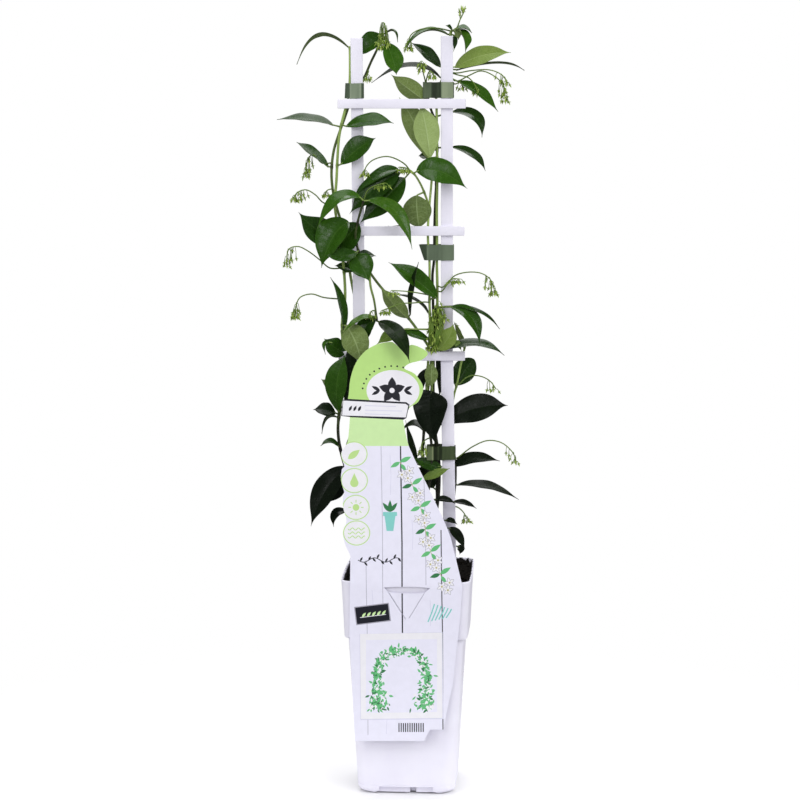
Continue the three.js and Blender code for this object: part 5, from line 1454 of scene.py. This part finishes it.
def tie_skin(tie):
    """An outer and an inner skin of rows round the plan, slack where the tape is creased or bends."""
    path = bent_plan(tie["plan"])
    middle_x = sum(x for x, _ in tie["plan"]) / len(tie["plan"])
    count = len(path)
    outer, inner = [], []
    for row in range(TAPE_ROWS):
        rise = row / (TAPE_ROWS - 1)
        for k, point in enumerate(path):
            along = (path[(k + 1) % count] - path[k - 1]).normalized()
            inward = Vector((-along.y, along.x))
            turned = (path[(k + 1) % count] - point).angle_signed(point - path[k - 1], 0)
            broad = noise.noise(Vector((point.x * 0.35, point.y * 0.35, rise * 1.5 + tie["height"])))
            small = noise.noise(Vector((point.x * 0.9, point.y * 0.9, rise * 4)))
            slack = tie["creases"] * (1.5 * small + abs(tie["creases"] * broad))
            slack += 0.1 * abs(turned)
            edge = 0.35 * noise.noise(Vector((point.x * 0.2, point.y * 0.2, 5 if rise > 0.5 else 9)))
            height = tie["height"] + tie["high"] * (rise - 0.5) + edge * (2 * rise - 1)
            flare = tie["flare"] * rise * max(0, middle_x - point.x) / FLARE_REACH
            inset = TAPE_EASE + slack * 0.5
            for side, depth in ((outer, inset), (inner, inset + TAPE_THICK)):
                spot = point + inward * depth
                side.append(Vector((spot.x - flare, spot.y, height)) * MM)
    points = outer + inner
    faces = []
    for k in range(count):
        n = (k + 1) % count
        for row in range(TAPE_ROWS - 1):
            a, b = row * count + k, row * count + n
            faces.append((a, b, b + count, a + count))
            c, d = a + len(outer), b + len(outer)
            faces.append((c, c + count, d + count, d))
        top = (TAPE_ROWS - 1) * count
        faces.append((k + len(outer), n + len(outer), n, k))
        faces.append((top + k, top + n, top + n + len(outer), top + k + len(outer)))
    return points, faces


def tone_at(tones, x):
    for (from_x, from_tone), (to_x, to_tone) in zip(tones, tones[1:]):
        if x <= to_x:
            share = min(1, max(0, (x - from_x) / (to_x - from_x)))
            return from_tone + (to_tone - from_tone) * share
    return tones[-1][1]


def mark_painted_film_light(band, tie):
    """Keeps the film's painted tone on the mesh: the table's painted shade and highlights on its front, and
    an even tone on its back.
    """
    behind = sum(y for _, y in tie["plan"]) / len(tie["plan"])
    places = [vertex.co / MM for vertex in band.data.vertices]
    tones = [tone_at(tie["tones"], at.x) if at.y < behind else BACK_TONE for at in places]
    band.data.attributes.new("shade", "FLOAT", "POINT").data.foreach_set("value", tones)


def tape(name, blue):
    """Stretched plastic film, a little see-through, with a faint vertical grain; its colour follows the
    painted light and shade marked on the band.
    """
    greens = [
        (0, (0.010, 0.016, 0.010)), (0.25, (0.066, 0.094, 0.058)), (0.5, (0.165, 0.215, 0.145)),
        (0.75, (0.33, 0.39, 0.28)), (1, (0.70, 0.75, 0.70)),
    ]
    greens = [(tone, (red, green, light * blue)) for tone, (red, green, light) in greens]
    finish = new_finish(name, greens[2][1], 0.32, Alpha=0.94, IOR=1.5, Specular_IOR_Level=0.3)
    streaks = streaked(finish, 260, 30)
    grain = maths(finish, "MULTIPLY", maths(finish, "SUBTRACT", streaks, 0.5), 0.16)
    # The colour follows the band's painted tones: painted shade where stems show through, painted light over
    # the stake and painted highlights at folds.
    wire(finish, ramp(finish, maths(finish, "ADD", shade_of(finish), grain), greens), "Base Color")
    add_bump(finish, streaks, 0.15 * MM, 0.5)
    return finish


for tie in TIES:
    band = new_piece(tie["node"].replace("tie", "tape"), *tie_skin(tie))
    mark_painted_film_light(band, tie)
    band.data.materials.append(tape(tie["node"].replace("tie", "green_tape"), tie["blue"]))
    settle(band, "tape", tie["node"])

# The plant card
# A die-cut card of stiff printed plastic that hangs on the rim: a strip behind it goes over the rim into the
# pot, and its head leans back above a soft bend. The print here is a plain design of its own: flowers, leaves
# and a window. The card and its print are drawn on the same sheet as the stems.
CARD_THICK = 0.7 * MM
CARD_GAP = 0.35 * MM
CARD_FRONT = -RIM_HALF - FACE_DOME - CARD_GAP - 1.4 * MM
CARD_HINGE = 216.7 * MM
CARD_LEAN = math.radians(7)
BEND_HALF = 4 * MM
HINGE_LINE = 586
SHORT_EDGE = 5
STRAIGHT_BELOW = 560
BEND_LEVELS = (-1, -0.5, 0, 0.5, 1)
BEND_LINE_HALF = 0.1
FLAT_SCALE = 1000
CARD_OUTLINE = [
    (350, 586), (350.4, 557), (345.3, 545), (343, 532), (346.5, 521), (343.2, 507.5), (343, 496),
    (344.5, 493), (341, 480.5), (342, 469), (344.5, 466.5), (341, 453.7), (347.5, 442), (350, 417),
    (341.2, 416), (342.9, 399.5), (347.9, 398.7), (350.4, 378.8), (355.8, 363), (364.9, 351.4),
    (375.7, 344.8), (386.4, 342.3), (393, 342.3), (403, 349.8), (411.3, 344.8), (423, 348.9),
    (427.9, 353.9), (421.3, 360.1), (409.7, 363.4), (404.3, 368.4),
    (414.6, 373.8), (422, 383.7), (422.9, 391.2), (418, 402), (409.2, 408), (406.3, 418.2), (403, 420),
    (408.8, 446), (433.7, 499), (450.9, 538), (462.4, 586), (460, 618.6), (452.8, 683.7), (443.2, 729.6),
    (430, 729.6), (424, 741), (355, 741), (349.5, 637.7),
]
SHARP_CORNERS = [
    (350, 417), (341.2, 416), (342.9, 399.5), (403, 420), (430, 729.6), (424, 741), (355, 741),
    (443.2, 729.6),
]
RIM_WINDOW = [
    (384, 587.5), (395, 586.9), (407, 586.8), (419, 587), (430, 588.2), (425, 592.6), (409.2, 618.3),
    (408.8, 618.1), (424.3, 593), (415, 593.6), (405, 593.5), (396, 593), (388.8, 592.1), (406, 619.4),
    (405.6, 619.6), (387.8, 591.8),
]
HOOK_SPAN = (389, 425)
HOOK_HEIGHT = 220.75 * MM
HOOK_REACH = 16 * MM
HOOK_BEND = 1.2 * MM
INKS = {
    "card_white": (0.84, 0.83, 0.97),
    "card_shade": (0.70, 0.69, 0.85),
    "lime": (0.49, 0.76, 0.23),
    "pale_lime": (0.62, 0.86, 0.42),
    "line_lime": (0.52, 0.76, 0.28),
    "dark_ink": (0.012, 0.013, 0.022),
    "grey_ink": (0.38, 0.37, 0.45),
    "mint": (0.24, 0.64, 0.60),
    "leaf_green": (0.13, 0.52, 0.20),
    "deep_green": (0.035, 0.20, 0.07),
    "straw": (0.52, 0.48, 0.22),
    "petal_white": (0.88, 0.87, 0.93),
}


def on_card(point):
    """Where a point of the sheet falls on the card: across from the pot's axis and up from the bend."""
    lean = CARD_LEAN if point[1] < HINGE_LINE else 0
    turn = Matrix.Rotation(-POT_TURN, 3, "Z")
    depth = CARD_FRONT
    for _ in range(5):
        spot = place((point[0], point[1], depth / MM))
        spot = turn @ (spot - Vector((POT_MIDDLE, 0, 0)))
        depth += CARD_FRONT + math.tan(lean) * max(0, spot.z - CARD_HINGE) - spot.y
    return Vector((spot.x, (spot.z - CARD_HINGE) / math.cos(lean)))


def off_card(across, up, behind):
    """The other way: a point of the card in space, so far behind its printed face."""
    radius = 2 * BEND_HALF / CARD_LEAN
    angle = CARD_LEAN * min(1, max(0, (up + BEND_HALF) / (2 * BEND_HALF)))
    past = up - BEND_HALF if up > BEND_HALF else min(0, up + BEND_HALF)
    y = CARD_FRONT + radius * (1 - math.cos(angle)) + past * math.sin(angle) + behind * math.cos(angle)
    z = CARD_HINGE - BEND_HALF + radius * math.sin(angle) + past * math.cos(angle) - behind * math.sin(angle)
    return Vector((across, y, z))


def rounded(outline, sharp):
    """A smooth line through the outline's points, but for its sharp corners."""
    path = []
    count = len(outline)
    for k, here in enumerate(outline):
        before, after, beyond = outline[k - 1], outline[(k + 1) % count], outline[(k + 2) % count]
        path.append(here)
        p0, p1, p2, p3 = Vector(before), Vector(here), Vector(after), Vector(beyond)
        if (p2 - p1).length < SHORT_EDGE or max(p1.y, p2.y) > STRAIGHT_BELOW:
            continue
        out = (p2 - p1) / 6 if here in sharp else (p2 - p0) / 6
        back = (p2 - p1) / 6 if after in sharp else (p3 - p1) / 6
        limit = (p2 - p1).length / 3
        out, back = (pull.normalized() * min(pull.length, limit) for pull in (out, back))
        a, b = p1 + out, p2 - back
        for step in (0.25, 0.5, 0.75):
            rest = 1 - step
            spot = p1 * rest ** 3 + a * 3 * rest ** 2 * step + b * 3 * rest * step ** 2 + p2 * step ** 3
            path.append(tuple(spot))
    return path


def disc(x, y, wide, high=None, sides=28):
    high = wide if high is None else high
    return [(x + wide * math.cos(a), y + high * math.sin(a)) for a in turns_round(sides)]


def leaf_shape(x, y, angle, long, wide):
    """A pointed leaf that starts at x, y and points along the angle, in degrees."""
    turn = math.radians(angle)
    upper, lower = [], []
    for k in range(9):
        t = k / 8
        half = wide / 2 * math.sin(math.pi * t ** 0.85)
        for side, sign in ((upper, 1), (lower, -1)):
            side.append((x + long * t * math.cos(turn) - sign * half * math.sin(turn),
                         y + long * t * math.sin(turn) + sign * half * math.cos(turn)))
    return upper + lower[-2:0:-1]


def ribbon(path, wide):
    """A drawn line of even width."""
    left, right = [], []
    for k, (x, y) in enumerate(path):
        (ax, ay), (bx, by) = path[max(k - 1, 0)], path[min(k + 1, len(path) - 1)]
        long = math.hypot(bx - ax, by - ay)
        nx, ny = (ay - by) / long * wide / 2, (bx - ax) / long * wide / 2
        left.append((x + nx, y + ny))
        right.append((x - nx, y - ny))
    return left + right[::-1]


def tilted_box(x, y, wide, high, degrees):
    across, down = math.cos(math.radians(degrees)), math.sin(math.radians(degrees))
    corners = ((-wide, -high), (wide, -high), (wide, high), (-wide, high))
    return [(x + (a * across - b * down) / 2, y + (a * down + b * across) / 2) for a, b in corners]


def flower(x, y, petals, reach, wide, petal_ink, eye_ink, spin=0, rim_ink=None):
    turns = [spin + 360 * k / petals for k in range(petals)]
    shapes = [(rim_ink, leaf_shape(x, y, turn, reach + 0.5, wide + 0.8)) for turn in turns] if rim_ink else []
    shapes += [(petal_ink, leaf_shape(x, y, turn, reach, wide)) for turn in turns]
    return shapes + [(eye_ink, disc(x, y, reach * 0.2, sides=10))]


def head_print():
    """A lime dome with a white oval and a dark bloom in it, and a framed band below."""
    shapes = [("lime", [(330, 330), (440, 330), (440, 425), (330, 425)])]
    shapes.append(("petal_white", disc(393, 390.5, 26.5, 20.5, 48)))
    for k in range(11):
        angle = math.radians(186 + 11.5 * k)
        x, y = 393 + 30.5 * math.cos(angle), 391 + 25 * math.sin(angle)
        shapes.append(("dark_ink", disc(x, y, 0.95, sides=8)))
    shapes += flower(392, 390.5, 5, 13.5, 8.2, "dark_ink", "petal_white", -90)
    for side, lean in ((-1, 180), (1, 0)):
        for bend in (-28, 28):
            shapes.append(("dark_ink", leaf_shape(392 + side * 12, 390.5, lean + bend, 9.5, 3.4)))
    shapes.append(("pale_lime", [(330, 417.5), (440, 417.5), (440, 446), (330, 446)]))
    shapes.append(("dark_ink", [
        (341.1, 399.3), (343, 398.6), (406.4, 402.2), (409.6, 404.6), (407.2, 418.6), (405, 419.8),
        (341.1, 416.8),
    ]))
    shapes.append(("petal_white", [
        (343.3, 400.6), (405.8, 403.9), (408.2, 405.7), (405.9, 417.4), (342.1, 415.5),
    ]))
    for k in range(3):
        shapes.append(("dark_ink", leaf_shape(349 + 4.6 * k, 411 + 0.1 * k, -62, 6.2, 2.6)))
    for y, right in ((405.6, 396), (410.2, 402), (413.8, 390)):
        shapes.append(("card_shade", ribbon([(365, y), (right, y + 0.9)], 0.7)))
    return shapes


def board_print():
    """Pale boards with dark gaps between them."""
    shapes = []
    gaps = [
        (381, 446, 612, 0.5, "grey_ink"), (400.5, 446, 640, 1.3, "dark_ink"),
        (424, 480, 585, 0.5, "grey_ink"), (441, 530, 735, 1.0, "dark_ink"), (366, 560, 735, 0.5, "grey_ink"),
    ]
    for x, top, foot, wide, ink in gaps:
        shapes.append((ink, ribbon([(x, top), (x + 1.5, (top + foot) / 2), (x + 2, foot)], wide)))
    for x, y, long in ((390, 455, 40), (412, 520, 30), (372, 590, 24), (386, 700, 34), (430, 600, 26)):
        shapes.append(("card_shade", ribbon([(x, y), (x + 1, y + long / 2), (x + 0.4, y + long)], 0.5)))
    return shapes


def badge_print():
    """Four white badges with lime rims, along the scalloped edge: a leaf, a drop, a sun and waves."""
    shapes = []
    for x, y in ((354, 454), (354.3, 480.6), (356, 507.4), (356.6, 533)):
        shapes.append(("line_lime", disc(x, y, 13.6, 12.6, 40)))
        shapes.append(("petal_white", disc(x, y, 12.6, 11.6, 40)))
    shapes.append(("line_lime", leaf_shape(348, 459, -38, 15, 6.5)))
    shapes.append(("line_lime", disc(354.3, 483, 4.2, 4.2, 20)))
    shapes.append(("line_lime", [(350.6, 481.4), (354.3, 473), (358, 481.4)]))
    shapes.append(("line_lime", disc(356, 507.4, 3.4, sides=16)))
    for k in range(8):
        angle = math.pi * k / 4
        ray = [(356 + reach * math.cos(angle), 507.4 + reach * math.sin(angle)) for reach in (4.8, 7.6)]
        shapes.append(("line_lime", ribbon(ray, 0.9)))
    for row in range(3):
        wave = [(348 + k * 0.9, 529 + 4 * row + 1.1 * math.sin(k * 0.95)) for k in range(20)]
        shapes.append(("line_lime", ribbon(wave, 0.9)))
    return shapes


def border_print():
    """A border of leaf pairs and white star flowers along the slanting edge."""
    shapes = []
    stem = [(400 + 4.3 * k + 4 * math.sin(k * 0.55), 462 + 11.2 * k) for k in range(12)]
    shapes.append(("straw", ribbon(stem, 0.6)))
    for k, (x, y) in enumerate(stem):
        if k % 2 == 0:
            shapes.append(("leaf_green", leaf_shape(x, y, -25 - 4 * k % 11, 12.5, 4.6)))
            ink = "deep_green" if k % 4 else "leaf_green"
            shapes.append((ink, leaf_shape(x, y, 150 + 5 * k % 13, 11, 4.2)))
            shapes.append(("leaf_green", leaf_shape(x + 1, y + 2, 55, 9.5, 3.6)))
        else:
            for dx, dy, spin in ((-4.5, 1.5, 10), (3.2, -2.5, 35), (1.5, 5, 60)):
                shapes += flower(x + dx, y + dy, 5, 5.2, 2.3, "petal_white", "straw", spin, "grey_ink")
    return shapes


def picture_print():
    """A dark tag, a mint pot, a row of leaves, and a framed window with an arch of leaves and flowers."""
    rng = random.Random(5)
    shapes = [("mint", [
        (383, 512), (397, 512), (397, 516), (395.4, 516), (393.4, 531), (386.6, 531), (384.6, 516),
        (383, 516),
    ])]
    for angle in (-90, -128, -52):
        shapes.append(("deep_green", leaf_shape(390, 512, angle, 12, 4)))
    vine = [(358 + k * 2.1, 560 + 2.2 * math.sin(k * 0.6)) for k in range(21)]
    shapes.append(("dark_ink", ribbon(vine, 0.8)))
    for k in range(1, 20, 2):
        shapes.append(("dark_ink", leaf_shape(*vine[k], -60 if k % 4 == 1 else 50, 5, 2)))
    for k in range(6):
        stroke = [(428 + 3.6 * k, 622 - 0.8 * k), (432 + 3.6 * k, 612), (434.5 + 3.4 * k, 604 + k)]
        shapes.append(("mint", ribbon(stroke, 1.3)))
    shapes.append(("grey_ink", tilted_box(372.5, 614, 35, 18.5, -7)))
    shapes.append(("dark_ink", tilted_box(372.5, 614, 33, 16.5, -7)))
    shapes.append(("petal_white", ribbon([(360, 617.6), (386, 614.4)], 0.6)))
    for k in range(5):
        shapes.append(("pale_lime", leaf_shape(362 + 5 * k, 617.2 - 0.6 * k, -50, 6, 2.4)))
    left, right, top, foot = 366, 437, 640, 712
    shapes.append(("card_shade", [
        (left - 6.5, top - 6), (right + 5.5, top - 8), (right + 6.5, foot + 7), (left - 5.5, foot + 8),
    ]))
    shapes.append(("petal_white", [
        (left - 6, top - 6), (right + 5, top - 7.5), (right + 5.5, foot + 6), (left - 5, foot + 7),
    ]))
    shapes.append(("card_white", [(left, top), (right, top - 1), (right, foot), (left, foot + 1)]))
    middle, spring = (left + right) / 2, 676
    for k in range(700):
        t = rng.random()
        angle = math.pi * (1 + t)
        x, y = middle + 25 * math.cos(angle), spring + 26 * math.sin(angle)
        if k % 5 > 1:
            x = middle + rng.choice((-25, 25)) + rng.gauss(0, 1)
            y = foot - 2 - (foot - spring) * rng.random() ** 1.5
        spread = 2.6 + 7 * max(0, (y - spring) / 36)
        x, y = x + rng.gauss(0, spread * 0.7), y + rng.gauss(0, 1.8)
        if not (left + 3 < x < right - 3 and top + 3 < y < foot - 2):
            continue
        if k % 6 == 0:
            shapes += flower(x, y, 5, 2.0, 1.2, "petal_white", "straw", rng.uniform(0, 72))[:5]
        else:
            ink = rng.choice(("leaf_green", "leaf_green", "deep_green", "leaf_green"))
            turn, long, wide = rng.uniform(0, 360), rng.uniform(3, 5.5), rng.uniform(1.3, 2.3)
            shapes.append((ink, leaf_shape(x, y, turn, long, wide)))
    for k in range(12):
        shapes.append(("dark_ink", tilted_box(399 + 2.2 * k, 727.5, 1.1, 9, 0)))
    return shapes


def card_print():
    return board_print() + head_print() + badge_print() + border_print() + picture_print()


def card_mesh():
    """Lays the print's shapes over the card's outline and gives each patch of its face the topmost ink."""
    shapes = [("card_white", rounded(CARD_OUTLINE, SHARP_CORNERS))] + card_print() + [("window", RIM_WINDOW)]
    spots, faces = [], []
    for _, shape in shapes:
        ring = [on_card(point) for point in shape]
        area = sum(a.cross(b) for a, b in zip(ring, ring[1:] + ring[:1]))
        faces.append(list(range(len(spots), len(spots) + len(shape))))
        spots += ring if area > 0 else ring[::-1]
    edges = []
    for level in BEND_LEVELS:
        edges.append((len(spots), len(spots) + 1))
        spots += [Vector((end, level * BEND_HALF)) for end in (-BEND_LINE_HALF, BEND_LINE_HALF)]
    spots = [spot * FLAT_SCALE for spot in spots]
    flat, _, patches, _, _, owners = delaunay_2d_cdt(spots, edges, faces, 0, 1e-5, True)
    window = len(shapes) - 1
    kept = [(patch, max(own)) for patch, own in zip(patches, owners) if 0 in own and window not in own]
    inks = list(INKS)
    points, skin_faces, kinds = [], [], []
    used = {}
    for patch, _ in kept:
        for k in patch:
            used.setdefault(k, len(used))
    for behind in (0, CARD_THICK):
        points += [off_card(flat[k][0] / FLAT_SCALE, flat[k][1] / FLAT_SCALE, behind) for k in used]
    edges_seen = {}
    for patch, top in kept:
        front = [used[k] for k in patch]
        skin_faces += [tuple(front), tuple(len(used) + k for k in reversed(front))]
        kinds += [inks.index(shapes[top][0]), 0]
        for a, b in zip(front, front[1:] + front[:1]):
            edges_seen[a, b] = True
    for a, b in edges_seen:
        if (b, a) not in edges_seen:
            skin_faces.append((b, a, a + len(used), b + len(used)))
            kinds.append(0)
    return points, skin_faces, kinds


def hook_skin():
    """The strip that goes back over the rim, bends down inside it and narrows to a point."""
    left, right = (on_card((x, 580)).x for x in HOOK_SPAN)
    middle, half = (left + right) / 2, (right - left) / 2
    back = -inner_half(POT_HEIGHT) + CARD_GAP + FACE_DOME + 0.4 * MM
    rows = [(CARD_FRONT + 0.9 * MM, HOOK_HEIGHT, half, 0), (back - HOOK_BEND, HOOK_HEIGHT, half, 0)]
    for step in range(1, 6):
        angle = math.radians(18 * step)
        y, z = back - HOOK_BEND * (1 - math.sin(angle)), HOOK_HEIGHT - HOOK_BEND * (1 - math.cos(angle))
        rows.append((y, z, half, angle))
    for step in range(1, 9):
        share = step / 8
        wide = half * (1 - share) + 0.9 * MM * math.sqrt(max(0, 1 - share))
        height = HOOK_HEIGHT - HOOK_BEND - (HOOK_REACH - 1 * MM) * share
        rows.append((back, height, max(0.3 * MM, wide), math.pi / 2))
    rings = []
    for y, z, wide, angle in rows:
        off = Vector((0, math.sin(angle), math.cos(angle))) * CARD_THICK / 2
        spot = Vector((middle, y, z))
        across = Vector((wide, 0, 0))
        rings.append([spot - across - off, spot + across - off, spot + across + off, spot - across + off])
    return skin(rings)


def printed(name, color):
    """Ink under a satin film."""
    finish = new_finish(name, color, 0.36, IOR=1.5)
    grain = dapple(finish, 160.0, 3.0)
    darker = tuple(0.97 * part for part in color)
    wire(finish, ramp(finish, grain, [(0.35, darker), (0.65, color)]), "Base Color")
    add_bump(finish, grain, 0.05 * MM, 0.4)
    return finish


def plant_card():
    points, faces, kinds = card_mesh()
    add_skin(points, faces, hook_skin())
    kinds += [0] * (len(faces) - len(kinds))
    card = new_piece("plant_card", points, faces, crease=math.radians(30))
    for name, color in INKS.items():
        card.data.materials.append(printed(name, color))
    card.data.polygons.foreach_set("material_index", kinds)
    return seat_in_pot_frame(card)


settle(plant_card(), "card", "label")

# The studio
# A pale round floor that fades out into a white world, eight round soft lights about the plant and over it,
# and a camera where the shop photo's seems to have stood. None of it belongs to the plant.
FLOOR_REACH = 0.9
FLOOR_SIDES = 64
FADE_FROM, FADE_TO = 0.1, 0.6
WHITE = (0.93, 0.93, 0.93)
LIGHT_AIM = Vector((0, 0, 0.4))
WORLD_SEEN, WORLD_LIGHT, WORLD_GLOSS = 1.0, 0.38, 0.07
LENS = 108
LIGHTS = [
    ("key", (1.0, -2.0, 2.5), 1.8, 26, False),
    ("fill", (-1.6, -1.9, 1.5), 1.6, 14, False),
    ("left_side", (-2.1, -0.4, 1.1), 1.4, 8, False),
    ("right_side", (2.1, -0.4, 1.1), 1.4, 13, False),
    ("top", (0.1, 0.9, 2.3), 2.0, 28, True),
    ("overhead", (-0.5, -0.5, 2.6), 1.2, 8, True),
    ("left_sheen", (-0.65, -2.7, 1.3), 0.7, 6, True),
    ("right_sheen", (1.7, -1.9, 1.3), 0.8, 7, True),
]


def studio_floor():
    rim = [(FLOOR_REACH * math.cos(a), FLOOR_REACH * math.sin(a), 0) for a in turns_round(FLOOR_SIDES)]
    floor = new_piece("studio_floor", rim, [tuple(range(FLOOR_SIDES))])
    finish = new_finish("studio_white", WHITE, 0.9, Specular_IOR_Level=0.1)
    spread = add_node(finish, "ShaderNodeVectorMath", {0: object_place(finish)}, operation="LENGTH")
    wire(finish, remap(finish, spread.outputs["Value"], FADE_FROM, FADE_TO, 1, 0), "Alpha")
    floor.data.materials.append(finish)


def soft_light(name, stand, size, power, mirrored):
    """A round soft box; only the mirrored ones are seen as gloss on the leaves."""
    lamp = bpy.data.lights.new(name, "AREA")
    lamp.shape = "DISK"
    lamp.size = size
    lamp.energy = power
    light = bpy.data.objects.new(name, lamp)
    light.location = stand
    light.visible_glossy = mirrored
    light.rotation_euler = (LIGHT_AIM - Vector(stand)).to_track_quat("-Z", "Y").to_euler()
    bpy.context.scene.collection.objects.link(light)


def studio_world():
    """White to the camera, dimmer as light on the plant, and dimmer still in the leaves' gloss."""
    world = bpy.data.worlds.new("studio")
    world.use_nodes = True
    ray = add_node(world, "ShaderNodeLightPath").outputs
    dimmed = remap(world, ray["Is Glossy Ray"], 0, 1, WORLD_LIGHT, WORLD_GLOSS)
    strength = remap(world, ray["Is Camera Ray"], 0, 1, dimmed, WORLD_SEEN)
    background = world.node_tree.nodes["Background"].inputs
    background["Color"].default_value = (1, 1, 1, 1)
    feed(world, background["Strength"], strength)
    bpy.context.scene.world = world


def studio_camera():
    lens = bpy.data.cameras.new("front")
    lens.lens = LENS
    lens.sensor_width = 36
    lens.clip_end = 50
    camera = bpy.data.objects.new("front", lens)
    camera.location = (0, -EYE_BACK * MM, (SHEET_MIDDLE_HEIGHT + EYE_RISE) * MM)
    camera.rotation_euler = (math.pi / 2 - EYE_PITCH, 0, 0)
    bpy.context.scene.collection.objects.link(camera)
    bpy.context.scene.camera = camera


studio_floor()
for light in LIGHTS:
    soft_light(*light)
studio_world()
studio_camera()
bpy.context.scene.view_settings.view_transform = "Standard"
